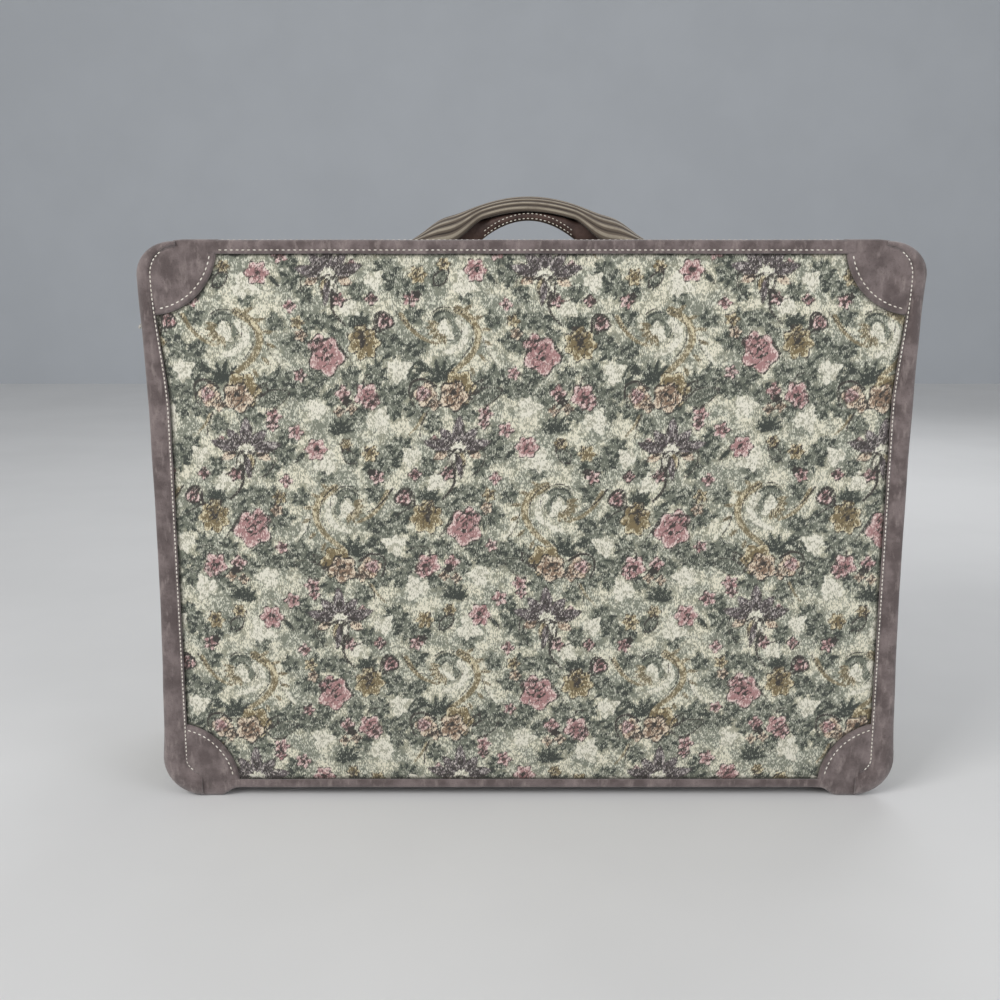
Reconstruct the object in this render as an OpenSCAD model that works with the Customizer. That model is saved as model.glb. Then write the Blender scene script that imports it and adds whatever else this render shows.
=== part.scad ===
// Soft-sided suitcase: padded tapestry faces on a boarded lid and body, rolled suede trim,
// a zip round three sides, a lid hinged along the bottom and a ribbed carrying handle.
// Millimetres, +Z up, front face towards -Y, origin on the floor under the middle of the case.

/* [Case] */
// Width of the rim, over its cloth
rim_w = 593; // [460:1:680]
// Height of the rim, over its cloth
rim_h = 443.5; // [340:0.5:520]
// Corner radius of the rim
rim_r = 24; // [20:0.5:32]
// Depth of the lid, from the front of the trim to the seam
lid_d = 26; // [25:0.5:36]
// Depth of the body, from the seam to the back of the trim
body_d = 164; // [130:1:210]
// Height of the four corner feet under the rim
foot_h = 10; // [7:0.1:13]

/* [Shell layers] */
// Thickness of the tapestry cloth
cloth_t = 1.6; // [1:0.1:2.2]
// Thickness of the face boards
board_t = 3; // [2:0.1:4]
// Thickness of the rim hoops
hoop_t = 4; // [3:0.1:6]
// Thickness of the lining
lining_t = 1; // [0.6:0.1:1.6]
// Rise of the padded faces above their edges
crown = 4.2; // [2:0.1:6]
// Distance over which a padded face rises from its edge
crown_reach = 70; // [40:1:110]
// Clearance between neighbouring layers
gap = 0.2; // [0.1:0.05:0.25]

/* [Suede trim] */
// Height of the trim above the cloth of a face
trim_rise = 4.5; // [3.6:0.1:6]
// How far the trim reaches back over the rim
trim_leg = 16; // [13:0.5:16.5]
// Width of a side binding on the face
bind_lip = 13; // [10:0.5:17]
// Roll of a side binding beyond the rim
bind_roll = 4.5; // [3.5:0.1:5]
// Width of the upper band on the face
band_top_w = 11; // [8:0.5:16]
// Width of the lower band on the face
band_low_w = 5; // [3:0.5:8]
// Thickness of the bands
band_t = 2.4; // [1.6:0.1:3]
// Radius of the corner patches
patch_r = 55; // [45:1:70]
// Thickness of the corner patches
patch_t = 2.2; // [1.6:0.1:2.8]

/* [Zip and hinge] */
// Width of the open cloth at the zip
zip_w = 12; // [11:0.5:16]
// Thickness of the zip tape
tape_t = 0.8; // [0.6:0.1:1]
// How far a zip tape runs under the cloth
tape_lap = 4; // [2:0.5:5]
// Width of one row of zip teeth
teeth_w = 2.1; // [1.6:0.1:2.6]
// Height of the zip teeth
teeth_t = 2.4; // [1.8:0.1:2.6]
// Length of a metal stop at an end of the zip
stop_l = 4; // [3:0.5:6]
// Width of the hinge strip under the seam
strip_w = 19; // [15:0.5:19.4]
// Thickness of the hinge strip
strip_t = 1.6; // [1:0.1:2.4]
// Length of a zip slider
slider_l = 14; // [11:0.5:18]
// Width of a zip slider
slider_w = 9; // [7:0.5:10]
// Thickness of a zip slider
slider_t = 2.6; // [2:0.1:3.4]
// Length of a pull tab, from its pin
tab_l = 15; // [12:0.5:17]
// Distance of the upper slider's pin below the start of the top corner
slider_drop = 30.5; // [20:0.5:40]
// Distance between the two sliders
slider_pitch = 32; // [28:0.5:36]

/* [Handle] */
// Overall length of the handle
handle_l = 210; // [190:1:240]
// Height of the handle's crown above the rim
handle_rise = 39.5; // [36:0.5:55]
// Width of the rolled grip
grip_w = 23; // [18:0.5:30]
// Thickness of the rolled grip
grip_t = 12.5; // [9:0.5:14]
// Width of the strap where it fans out on the rim
fan_w = 52; // [40:0.5:64]
// Thickness of the strap
strap_wall = 3; // [2:0.1:4]
// Height of the strap's folded shoulders above the arch
shoulder = 3; // [0:0.5:5]
// Thickness of the leather grip liner
liner_t = 7; // [4:0.5:8]
// Length of the leather grip liner
liner_l = 75; // [60:1:80]
// Width of the hand gap at the rim
hand_gap = 88; // [84:1:96]
// Distance of the handle behind the seam
handle_back = 78; // [60:1:90]
// Diameter of a handle screw
screw_d = 4; // [3:0.1:5]

/* [Inside] */
// Width of the packing straps
strap_w = 25; // [20:0.5:35]
// Thickness of the packing straps
strap_t = 1.5; // [1:0.1:2]
// Width of the lid pocket
pocket_w = 460; // [300:5:500]
// Height of the lid pocket
pocket_h = 190; // [120:5:240]

/* [Hidden] */

$fn = 48;
suede = [0.46, 0.41, 0.41];
tapestry = [0.80, 0.78, 0.69];
board_grey = [0.62, 0.58, 0.52];
lining_cloth = [0.72, 0.66, 0.56];
webbing = [0.38, 0.33, 0.30];
ribbed_strap = [0.57, 0.52, 0.45];
grip_leather = [0.25, 0.18, 0.14];
nickel = [0.70, 0.69, 0.66];

half_w = rim_w / 2;
rim_top = foot_h + rim_h;
rim_mid = foot_h + rim_h / 2;
front_y = -(lid_d + body_d) / 2;
back_y = front_y + lid_d + body_d;
seam_y = front_y + lid_d;
hinge_half = half_w - patch_r - gap;

// Depths behind the front of the trim, and insets from the rim's cloth
board_v = trim_rise + cloth_t + gap;
wall_v = board_v + board_t + gap;
inside_v = wall_v + lining_t;
tape_in = cloth_t + gap;
hoop_in = tape_in + tape_t + gap;
lining_in = hoop_in + hoop_t + gap;
hoop_stop = 3;
lining_stop = 4;
teeth_in = 0.4;

// Profile of the padded faces
grid_pitch = 20;
corner_rows = 4;
face_margin = 5;
patch_margin = 1.5 * grid_pitch;

// Bulge of the side bindings at the feet, corners, middle and top
foot_bulge = 2.1;
corner_bulge = 1.85;
waist_bulge = 0.75;
top_bulge = 0.72;
arc_steps = 7;
side_steps = 12;
band_drop = gap + band_t;
edge_round = 3;

// Handle profile: ends of the grip and of the fold, places of the screws
end_half = handle_l / 2;
grip_half = 0.36 * end_half;
fold_half = 0.69 * end_half;
fan_half = 0.78 * end_half;
waist_half = 0.43 * end_half;
heel_half = fold_half - 8;
heel_slack = 1.2;
handle_y = seam_y + handle_back;
handle_z = rim_top + gap;
tip_t = 2.2;
arch_rise = handle_rise - grip_t - liner_t - gap;
screw_x = fan_half;
screw_y = fan_w / 4;
screw_bite = 6;
screw_head_d = 2.2 * screw_d;
screw_head_h = 1.4;
hole_slack = 0.4;
plate_side = 6;

// Zip slider and pull tab
slider_z = rim_top - rim_r - slider_drop - slider_pitch;
pin_d = 1.4;
eye_d = 4.2;
lug_t = 1.2;
tab_w = 7;
tab_t = 1.4;
eye_w = 3.4;
slider_x = half_w - teeth_in + gap;
pin_x = slider_x + slider_t + eye_d / 2 + gap;
lower_lean = 12;
upper_lean = 40;

function smooth(t) = t <= 0 ? 0 : t >= 1 ? 1 : t * t * (3 - 2 * t);
function mix(a, b, t) = a + (b - a) * t;
function sgn_pow(c, p) = sign(c) * pow(abs(c), p);

// Closed skin of a row of equal rings, with both ends capped
function tube_faces(rings, pts) = concat(
    [[for (j = [0 : pts - 1]) j]],
    [for (i = [0 : rings - 2], j = [0 : pts - 1])
        [i * pts + j, (i + 1) * pts + j, (i + 1) * pts + (j + 1) % pts, i * pts + (j + 1) % pts]],
    [[for (j = [pts - 1 : -1 : 0]) (rings - 1) * pts + j]]);

// A flat shape in X and Z, given thickness between two depths
module slab(v0, v1) {
    translate([0, v1, 0]) rotate([90, 0, 0]) linear_extrude(v1 - v0) children();
}

// A section in depth and height, drawn out along X
module bar(x0, x1) {
    translate([x0, 0, 0]) rotate([90, 0, 90]) linear_extrude(x1 - x0) children();
}

module rounded(w, h, r) {
    square([w, h - 2 * r], center = true);
    square([w - 2 * r, h], center = true);
    for (sx = [-1, 1], sz = [-1, 1])
        translate([sx * (w / 2 - r), sz * (h / 2 - r)]) circle(r);
}

module outline(inset) {
    translate([0, rim_mid]) rounded(rim_w - 2 * inset, rim_h - 2 * inset, rim_r - inset);
}

module ring(inset, wall) {
    difference() {
        outline(inset);
        outline(inset + wall);
    }
}

// Place a half of the case: depth runs inwards from the front of its trim
module on_lid() {
    translate([0, front_y, 0]) children();
}

module on_body() {
    translate([0, back_y, 0]) mirror([0, 1, 0]) children();
}

// Padded face

// Half width of the rim at a height b inside its upper or lower edge
function half_at(b) = b >= rim_r ? half_w : half_w - rim_r + sqrt(rim_r * rim_r - pow(rim_r - b, 2));

function edge_rows() = [for (i = [0 : corner_rows]) rim_r * (1 - cos(90 * i / corner_rows))];

function face_rise(x, low, high) =
    let (side = half_w - bind_lip - gap - abs(x),
        band = min(low - band_low_w, high - band_top_w) - face_margin,
        patch = norm([half_w - abs(x), min(low, high)]) - patch_r - patch_margin,
        inside = min(side, band, patch) / crown_reach)
    inside <= 0 ? 0 : crown * (1 - pow(1 - min(inside, 1), 2));

module padded_face() {
    mid_rows = ceil((rim_h - 2 * rim_r) / grid_pitch);
    rows = concat(edge_rows(),
        [for (i = [1 : mid_rows - 1]) mix(rim_r, rim_h - rim_r, i / mid_rows)],
        [for (i = [corner_rows : -1 : 0]) rim_h - edge_rows()[i]]);
    lip_share = 1 - (bind_lip + gap) / half_w;
    spans = ceil(2 * half_w * lip_share / grid_pitch);
    columns = concat([-1], [for (i = [0 : spans]) mix(-lip_share, lip_share, i / spans)], [1]);
    nx = len(columns);
    nz = len(rows);
    front = [for (b = rows, u = columns)
        let (x = u * half_at(min(b, rim_h - b)))
        [x, trim_rise - face_rise(x, b, rim_h - b), foot_h + b]];
    border = concat([for (i = [0 : nx - 1]) i],
        [for (j = [1 : nz - 1]) j * nx + nx - 1],
        [for (i = [nx - 2 : -1 : 0]) (nz - 1) * nx + i],
        [for (j = [nz - 2 : -1 : 1]) j * nx]);
    count = len(border);
    back = [for (k = border) [front[k][0], trim_rise + cloth_t, front[k][2]]];
    hub = nx * nz + count;
    polyhedron(concat(front, back, [[0, trim_rise + cloth_t, rim_mid]]), concat(
        [for (j = [0 : nz - 2], i = [0 : nx - 2])
            [j * nx + i, (j + 1) * nx + i, (j + 1) * nx + i + 1, j * nx + i + 1]],
        [for (k = [0 : count - 1])
            [border[k], border[(k + 1) % count], nx * nz + (k + 1) % count, nx * nz + k]],
        [for (k = [0 : count - 1]) [nx * nz + k, nx * nz + (k + 1) % count, hub]]));
}

// Boards, hoops, cloth and lining of one half, of depth d at the seam

module face_board() {
    slab(board_v, board_v + board_t) outline(tape_in);
}

module hoop(d) {
    slab(wall_v, d - hoop_stop) ring(hoop_in, hoop_t);
}

module skin(d) {
    slab(board_v, d - zip_w / 2) ring(0, cloth_t);
}

module lining(d) {
    slab(wall_v, d - lining_stop) ring(lining_in, lining_t);
    slab(wall_v, inside_v) outline(lining_in + lining_t / 2);
}

// Leave out the stretch along the bottom that the hinge strip takes
module off_hinge(half, d) {
    difference() {
        children();
        translate([-half, 0, foot_h - 1]) cube([2 * half, d + zip_w, rim_r]);
    }
}

module zip_tape(d) {
    off_hinge(hinge_half, d)
        slab(d - zip_w / 2 - tape_lap, d - teeth_w - 1.5 * gap) ring(tape_in, tape_t);
}

module zip_teeth(d) {
    off_hinge(hinge_half + stop_l + 2 * gap, d)
        slab(d - teeth_w - gap / 2, d - gap / 2) ring(teeth_in, teeth_t);
}

// Suede trim of one half

// Section of a side binding: distance out from the rim, depth
function bind_section(bulge) =
    let (lip = -bind_lip, out = bind_roll * bulge)
    [[lip, trim_rise - gap], [lip, 0.55 * trim_rise], [0.93 * lip, 0.42 * trim_rise],
        [0.8 * lip, 0.5 * trim_rise], [0.5 * lip, 0.22 * trim_rise], [0.12 * lip, 0],
        [0.45 * out, 0.1 * trim_rise], [0.85 * out, 0.6 * trim_rise], [out, 0.4 * trim_leg],
        [0.95 * out, 0.65 * trim_leg], [0.65 * out, 0.9 * trim_leg], [0.3 * out, trim_leg],
        [gap, trim_leg], [gap, trim_rise - gap]];

// Route of a binding round the right side of the rim: x, z, outward angle, bulge
function bind_route() = concat(
    [for (i = [0 : arc_steps - 1]) let (a = -90 + 90 * i / arc_steps)
        [half_w - rim_r + rim_r * cos(a), foot_h + rim_r + rim_r * sin(a), a,
            mix(foot_bulge, corner_bulge, i / arc_steps)]],
    [for (i = [0 : side_steps]) let (t = i / side_steps)
        [half_w, mix(foot_h + rim_r, rim_top - rim_r, t), 0,
            mix(waist_bulge, corner_bulge, pow(abs(2 * t - 1), 2.5))]],
    [for (i = [1 : arc_steps]) let (a = 90 * i / arc_steps)
        [half_w - rim_r + rim_r * cos(a), rim_top - rim_r + rim_r * sin(a), a,
            mix(corner_bulge, top_bulge, i / arc_steps)]]);

module binding(side) {
    route = bind_route();
    points = [for (p = route, s = bind_section(p[3]))
        [p[0] + s[0] * cos(p[2]), s[1], p[1] + s[0] * sin(p[2])]];
    mirror([side < 0 ? 1 : 0, 0, 0])
        polyhedron(points, tube_faces(len(route), len(bind_section(1))));
}

// Section of a band: depth, height inside the rim's edge
function band_section(w) =
    let (face = trim_rise - gap - band_t)
    concat([[trim_rise - gap, w], [face, w]],
        [for (i = [0 : 6]) let (a = 15 * i)
            [face + edge_round * (1 - cos(a)), -band_drop + edge_round * (1 - sin(a))]],
        [[trim_leg, -band_drop], [trim_leg, -gap], [trim_rise - gap, -gap]]);

module band(top) {
    translate([0, 0, top ? rim_top : foot_h]) mirror([0, 0, top ? 1 : 0])
        bar(-hinge_half, hinge_half) polygon(band_section(top ? band_top_w : band_low_w));
}

// Quarter disc of a corner patch, clear of the binding: distances in from the rim's edges
module patch_face() {
    clear = bind_lip + gap;
    intersection() {
        circle(patch_r);
        union() {
            translate([rim_r + gap, 0]) square(patch_r);
            translate([clear, rim_r]) square(patch_r);
            translate([rim_r, rim_r]) circle(rim_r - clear);
        }
    }
}

// Outline of the turned edge of a patch, with its soft slope down to the foot
module patch_turn(drop) {
    slope = 1.2 * drop;
    end = patch_r - gap;
    steps = 8;
    polygon(concat([[rim_r + gap, 1], [end, 1], [end, -gap]],
        [for (i = [1 : steps]) let (t = i / steps)
            [end - slope * t, mix(-gap, -drop, smooth(t))]],
        [[rim_r + gap, -drop]]));
}

// Section of the turned edge: depth, height inside the rim's edge
function turn_section(drop) =
    let (face = trim_rise - gap - patch_t, r = min(edge_round, drop - gap))
    concat([[trim_rise - gap, 1], [face, 1]],
        [for (i = [0 : 6]) let (a = 15 * i) [face + r * (1 - cos(a)), -drop + r * (1 - sin(a))]],
        [[trim_leg, -drop], [trim_leg, -gap], [trim_rise - gap, -gap]]);

module corner_patch(side, top) {
    drop = top ? band_drop : foot_h;
    translate([side * half_w, 0, top ? rim_top : foot_h])
        mirror([side > 0 ? 1 : 0, 0, 0]) mirror([0, 0, top ? 1 : 0]) {
            slab(trim_rise - gap - patch_t, trim_rise - gap) patch_face();
            intersection() {
                slab(0, trim_leg) patch_turn(drop);
                bar(0, patch_r) polygon(turn_section(drop));
            }
        }
}

// Handle: an arched strap folded into a grip, its lower edges opening out into fans on the rim

function strap_top(x) = max(handle_rise * cos(90 * x / end_half) + shoulder
    * pow(sin(180 * smooth((abs(x) - waist_half) / (end_half - waist_half))), 2), tip_t);
function strap_edge(x) = (handle_rise * cos(90 * x / end_half) - grip_t)
    * (1 - smooth((abs(x) - grip_half) / (fold_half - grip_half)));
function strap_half_w(x) = mix(grip_w, fan_w, smooth((abs(x) - grip_half) / (fan_half - grip_half))) / 2
    * (1 - 0.25 * smooth((abs(x) - fan_half) / (end_half - fan_half)));
function strap_hollow(x) = 0.4 + max(strap_top(x) - strap_edge(x) - 1.6 * strap_wall, 0)
    * smooth((abs(x) - grip_half) / 10) * smooth((fold_half - abs(x)) / 8);

// Section of the strap across the handle: over the top, then back under the fold
function strap_ring(x) =
    let (edge = max(strap_edge(x), 0), steps = 12, w = strap_half_w(x))
    concat(
        [for (i = [0 : steps]) let (a = 180 * i / steps)
            [x, handle_y - w * cos(a), handle_z + edge + (strap_top(x) - edge) * pow(sin(a), 0.8)]],
        [for (i = [steps - 1 : -1 : 1]) let (a = 180 * i / steps)
            [x, handle_y - (w - strap_wall) * cos(a), handle_z + edge + strap_hollow(x) * sin(a)]]);

module strap_body() {
    half_steps = 21;
    stations = [for (i = [-half_steps : half_steps]) end_half * i / half_steps];
    polyhedron([for (x = stations) each strap_ring(x)],
        tube_faces(len(stations), len(strap_ring(0))));
}

// Leather core under the strap: the liner over the hand gap, then a heel down to the rim at each end
function core_half_w(x) = 0.4 * grip_w * (1 - 0.3 * smooth((2 * abs(x) / liner_l - 0.8) / 0.2));
function core_low(x) = arch_rise * max(1 - pow(2 * x / hand_gap, 2), 0);
function core_high(x) = strap_edge(x) - gap + max(strap_hollow(x)
    * sqrt(max(1 - pow(core_half_w(x) / (strap_half_w(x) - strap_wall), 2), 0)) - heel_slack, 0);

module core_body() {
    half_steps = 14;
    sides = 12;
    stations = [for (i = [-half_steps : half_steps]) heel_half * i / half_steps];
    rings = [for (x = stations)
        let (mid = (core_low(x) + core_high(x)) / 2, half_t = (core_high(x) - core_low(x)) / 2)
        for (k = [0 : sides - 1]) let (a = 360 * k / sides)
            [x, handle_y - core_half_w(x) * sgn_pow(cos(a), 0.7),
                handle_z + mid + half_t * sgn_pow(sin(a), 0.7)]];
    polyhedron(rings, tube_faces(len(stations), sides));
}

module at_screws() {
    for (sx = [-1, 1], sy = [-1, 1])
        translate([sx * screw_x, handle_y + sy * screw_y, 0]) children();
}

module screw_holes(z0, z1, d) {
    at_screws() translate([0, 0, z0]) cylinder(d = d + hole_slack, h = z1 - z0);
}

module screw() {
    head_z = rim_top - hoop_in - hoop_t;
    translate([0, 0, head_z]) {
        cylinder(d = screw_d, h = handle_z + screw_bite - head_z);
        cylinder(d = screw_head_d, h = screw_head_h);
    }
}

// Zip slider on the left end of the case, its pin at height z

module slider(z) {
    translate([-slider_x, seam_y, z]) {
        difference() {
            union() {
                translate([-slider_t, -slider_w / 2, -slider_l / 2 + slider_w / 2])
                    cube([slider_t, slider_w, slider_l - slider_w]);
                for (e = [-1, 1])
                    translate([-slider_t, 0, e * (slider_l - slider_w) / 2])
                        rotate([0, 90, 0]) cylinder(d = slider_w, h = slider_t);
            }
            translate([-slider_t - 1, 0, -slider_l / 2 + 2])
                rotate([0, 90, 0]) cylinder(d = 1.6, h = slider_t + 2);
        }
        for (e = [-1, 1])
            translate([slider_x - pin_x, e * (eye_w / 2 + gap) - (e < 0 ? lug_t : 0), 0])
                rotate([-90, 0, 0]) {
                    cylinder(d = eye_d, h = lug_t);
                    translate([0, -eye_d / 2, 0]) cube([pin_x - slider_x - slider_t, eye_d, lug_t]);
                }
        translate([slider_x - pin_x, -eye_w / 2 - gap - lug_t, 0])
            rotate([-90, 0, 0]) cylinder(d = pin_d, h = eye_w + 2 * (gap + lug_t));
    }
}

module pull_tab(z, lean) {
    translate([-pin_x, seam_y, z]) rotate([0, lean, 0]) rotate([90, 0, 0])
        translate([0, 0, -eye_w / 2]) difference() {
            union() {
                cylinder(d = eye_d, h = eye_w);
                translate([-tab_t / 2, -eye_d, 0]) cube([tab_t, eye_d, eye_w]);
                translate([-tab_t / 2, -tab_l + tab_w / 2, eye_w / 2 - tab_w / 2])
                    cube([tab_t, tab_l - tab_w / 2 - eye_d / 2 - lug_t, tab_w]);
                translate([-tab_t / 2, -tab_l + tab_w / 2, eye_w / 2])
                    rotate([0, 90, 0]) cylinder(d = tab_w, h = tab_t);
            }
            translate([0, 0, -1]) cylinder(d = pin_d + hole_slack, h = eye_w + 2);
            translate([-tab_t, -tab_l + tab_w / 2, eye_w / 2])
                rotate([0, 90, 0]) cylinder(d = 0.4 * tab_w, h = 2 * tab_t);
        }
}

// Nodes

module front_tapestry() color(tapestry) on_lid() padded_face();
module back_tapestry() color(tapestry) on_body() padded_face();
module front_board() color(board_grey) on_lid() face_board();
module back_board() color(board_grey) on_body() face_board();
module lid_hoop() color(board_grey) on_lid() hoop(lid_d);
module lid_skin() color(tapestry) on_lid() skin(lid_d);
module lid_lining() color(lining_cloth) on_lid() lining(lid_d);
module body_lining() color(lining_cloth) on_body() lining(body_d);

module body_hoop() color(board_grey) difference() {
    inner = rim_top - hoop_in - hoop_t;
    on_body() hoop(body_d);
    screw_holes(inner - 1, rim_top, screw_d);
    screw_holes(inner - 1, inner + screw_head_h + gap, screw_head_d);
}

module body_skin() color(tapestry) difference() {
    on_body() skin(body_d);
    screw_holes(rim_top - hoop_in, rim_top + 1, screw_d);
}

module lid_pocket() color(lining_cloth) on_lid() {
    hem = 10;
    slab(inside_v + gap, inside_v + gap + lining_t)
        translate([0, rim_mid - rim_h / 2 + lining_in + 2 * rim_r + pocket_h / 2])
            rounded(pocket_w, pocket_h, rim_r);
    translate([0, 0, rim_mid - rim_h / 2 + lining_in + 2 * rim_r + pocket_h - hem])
        bar(-pocket_w / 2 + rim_r, pocket_w / 2 - rim_r)
            translate([inside_v + gap, 0]) square([3 * lining_t, hem]);
}

module binding_front_left() color(suede) on_lid() binding(-1);
module binding_front_right() color(suede) on_lid() binding(1);
module binding_back_left() color(suede) on_body() binding(-1);
module binding_back_right() color(suede) on_body() binding(1);
module band_front_top() color(suede) on_lid() band(true);
module band_front_bottom() color(suede) on_lid() band(false);
module band_back_top() color(suede) on_body() band(true);
module band_back_bottom() color(suede) on_body() band(false);
module corner_front_top_left() color(suede) on_lid() corner_patch(-1, true);
module corner_front_top_right() color(suede) on_lid() corner_patch(1, true);
module corner_front_bottom_left() color(suede) on_lid() corner_patch(-1, false);
module corner_front_bottom_right() color(suede) on_lid() corner_patch(1, false);
module corner_back_top_left() color(suede) on_body() corner_patch(-1, true);
module corner_back_top_right() color(suede) on_body() corner_patch(1, true);
module corner_back_bottom_left() color(suede) on_body() corner_patch(-1, false);
module corner_back_bottom_right() color(suede) on_body() corner_patch(1, false);

module zip_tape_lid() color(webbing) on_lid() zip_tape(lid_d);
module zip_tape_body() color(webbing) on_body() zip_tape(body_d);
module zip_teeth_lid() color(webbing) on_lid() zip_teeth(lid_d);
module zip_teeth_body() color(webbing) on_body() zip_teeth(body_d);

module zip_stops() color(nickel)
    for (s = [-1, 1])
        translate([s * (hinge_half + gap + stop_l / 2) - stop_l / 2, seam_y + gap, foot_h + teeth_in])
            cube([stop_l, teeth_w - gap, teeth_t]);

module hinge_strip() color(suede)
    translate([-hinge_half, seam_y - strip_w / 2, foot_h - gap - strip_t])
        cube([2 * hinge_half, strip_w, strip_t]);

module handle_strap() color(ribbed_strap) difference() {
    strap_body();
    screw_holes(rim_top, handle_z + screw_bite + gap, screw_d);
}

module handle_grip() color(grip_leather) core_body();
module handle_screws() color(nickel) at_screws() screw();

module handle_plate() color(nickel) difference() {
    translate([-end_half, handle_y - fan_w / 2 - plate_side, rim_top - tape_in - tape_t])
        cube([handle_l, fan_w + 2 * plate_side, tape_t]);
    screw_holes(rim_top - hoop_in, rim_top, screw_d);
}

module packing_strap(side) {
    inner = strap_w / 4;
    outer = half_w - lining_in - lining_t - rim_r;
    on_body() slab(inside_v + gap, inside_v + gap + strap_t)
        translate([side * (inner + outer) / 2, rim_mid]) square([outer - inner, strap_w], center = true);
}

module packing_strap_left() color(webbing) packing_strap(-1);
module packing_strap_right() color(webbing) packing_strap(1);

module strap_buckle() color(nickel) on_body() {
    seat = inside_v + 2 * gap + strap_t;
    slab(seat, seat + 2 * strap_t) translate([0, rim_mid]) difference() {
        rounded(2 * strap_w, 1.4 * strap_w, 0.2 * strap_w);
        for (s = [-1, 1])
            translate([s * 0.4 * strap_w, 0]) square([0.4 * strap_w, 1.05 * strap_w], center = true);
    }
}

module zip_slider_lower() color(nickel) slider(slider_z);
module zip_slider_upper() color(nickel) slider(slider_z + slider_pitch);
module zip_pull_lower() color(nickel) pull_tab(slider_z, lower_lean);
module zip_pull_upper() color(nickel) pull_tab(slider_z + slider_pitch, upper_lean);

front_tapestry();
front_board();
lid_hoop();
lid_skin();
lid_lining();
lid_pocket();
binding_front_left();
binding_front_right();
band_front_top();
band_front_bottom();
corner_front_top_left();
corner_front_top_right();
corner_front_bottom_left();
corner_front_bottom_right();
zip_tape_lid();
zip_teeth_lid();
back_tapestry();
back_board();
body_hoop();
body_skin();
body_lining();
binding_back_left();
binding_back_right();
band_back_top();
band_back_bottom();
corner_back_top_left();
corner_back_top_right();
corner_back_bottom_left();
corner_back_bottom_right();
zip_tape_body();
zip_teeth_body();
zip_stops();
hinge_strip();
handle_strap();
handle_grip();
handle_screws();
handle_plate();
packing_strap_left();
packing_strap_right();
strap_buckle();
zip_slider_lower();
zip_slider_upper();
zip_pull_lower();
zip_pull_upper();
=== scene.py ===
"""Soft suitcase in floral tapestry with suede trim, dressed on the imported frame."""
import math
import random

import bmesh
import bpy
import numpy as np
from mathutils import Matrix, Vector, noise


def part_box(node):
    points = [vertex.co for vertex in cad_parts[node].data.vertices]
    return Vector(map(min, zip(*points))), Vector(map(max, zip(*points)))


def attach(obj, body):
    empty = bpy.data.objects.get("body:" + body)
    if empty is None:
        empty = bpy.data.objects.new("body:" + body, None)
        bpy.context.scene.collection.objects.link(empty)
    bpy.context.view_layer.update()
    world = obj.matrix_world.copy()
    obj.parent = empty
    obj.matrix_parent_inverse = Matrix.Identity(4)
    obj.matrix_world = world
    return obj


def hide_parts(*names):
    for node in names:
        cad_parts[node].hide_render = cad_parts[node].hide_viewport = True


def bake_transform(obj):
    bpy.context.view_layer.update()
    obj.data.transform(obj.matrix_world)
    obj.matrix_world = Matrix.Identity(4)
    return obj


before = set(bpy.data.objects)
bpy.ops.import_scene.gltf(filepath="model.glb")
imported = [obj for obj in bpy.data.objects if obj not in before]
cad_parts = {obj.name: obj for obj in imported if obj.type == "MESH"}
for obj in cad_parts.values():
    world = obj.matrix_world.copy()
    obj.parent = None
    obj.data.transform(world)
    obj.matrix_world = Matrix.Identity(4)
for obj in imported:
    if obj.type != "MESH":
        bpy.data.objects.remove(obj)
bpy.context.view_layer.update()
random.seed(7)

# Sizes are in millimetres until a piece is finished, and then become metres.
MM = 0.001
skin_low, skin_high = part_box("body_skin")
HALF_W = skin_high.x / MM
FOOT_H = skin_low.z / MM
RIM_TOP = skin_high.z / MM
FRONT_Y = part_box("binding_front_left")[0].y / MM
BACK_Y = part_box("binding_back_left")[1].y / MM
RIM_R = 24.0
RIM_H = RIM_TOP - FOOT_H
RIM_MID = (FOOT_H + RIM_TOP) / 2
HINGE_HALF = 241.3

# Trim on the rim: the binding on the ends, the bands along the edges, the corner patches.
# Its underside lies at the seat, and its leg is folded over onto the gusset.
TRIM_RISE = 4.5
TRIM_SEAT = 4.3
TRIM_LEG = 16.0
BIND_LIP = 13.0
TOP_LIP = 4.0
BIND_ROLL = 4.5
BAND_TOP_W = 8.0
BAND_LOW_W = 5.0
PATCH_R = 55.0
PATCH_SEAM = 4.6
PATCH_LAP = 2.0
PATCH_LEG = TRIM_LEG + 0.4
PATCH_SEED = {"top": 2.0, "bottom": 6.0}

# Padding of the faces, puffs of the gusset, sewing and zip.
CROWN = 4.2
CROWN_REACH = 70.0
CLOTH_T = 1.6
GUSSET_PUFFS = 11
STITCH = 2.8
STITCH_PITCH = 4.4
ZIP_PITCH = 3.0

# Carrying handle on the body's top, seen along the case as an arch.
HANDLE_Y = 9.0
HANDLE_Z = 453.7
HANDLE_HALF = 105.0
HANDLE_RISE = 39.5
GRIP_HALF = 37.8
WAIST_HALF = 45.15
HEEL_HALF = 64.4
FOLD_HALF = 72.45
FAN_HALF = 82.0
ARCH_RISE = 19.8
ARCH_HALF = 44.0
LINER_HALF = 37.5
CORDS = 9

# Tapestry repeat: one spray of flowers, turned over and moved along in every other row.
# The back and the gusset start elsewhere in it.
REPEAT_W = 168.0
REPEAT_H = 276.0
SPRAY_X = -179.0
SPRAY_Z = 440.0
BACK_START = 61.0
GUSSET_START = 300.0


def smooth(value):
    """Eases a share from 0 to 1."""
    value = min(max(value, 0.0), 1.0)
    return value * value * (3 - 2 * value)


def mix(low, high, share):
    return low + (high - low) * share


def shares(count):
    """Even shares from 0 to 1, for this many steps."""
    return [number / count for number in range(count + 1)]


def depth_y(face, depth):
    """Y of a point that lies this far behind the front or the back of the case."""
    return FRONT_Y + depth if face == "front" else BACK_Y - depth


def trim_z(edge, inward):
    """Height of a point that lies this far inside the top or the bottom edge."""
    return RIM_TOP - inward if edge == "top" else FOOT_H + inward


def side_sign(side):
    return -1 if side == "left" else 1


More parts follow.
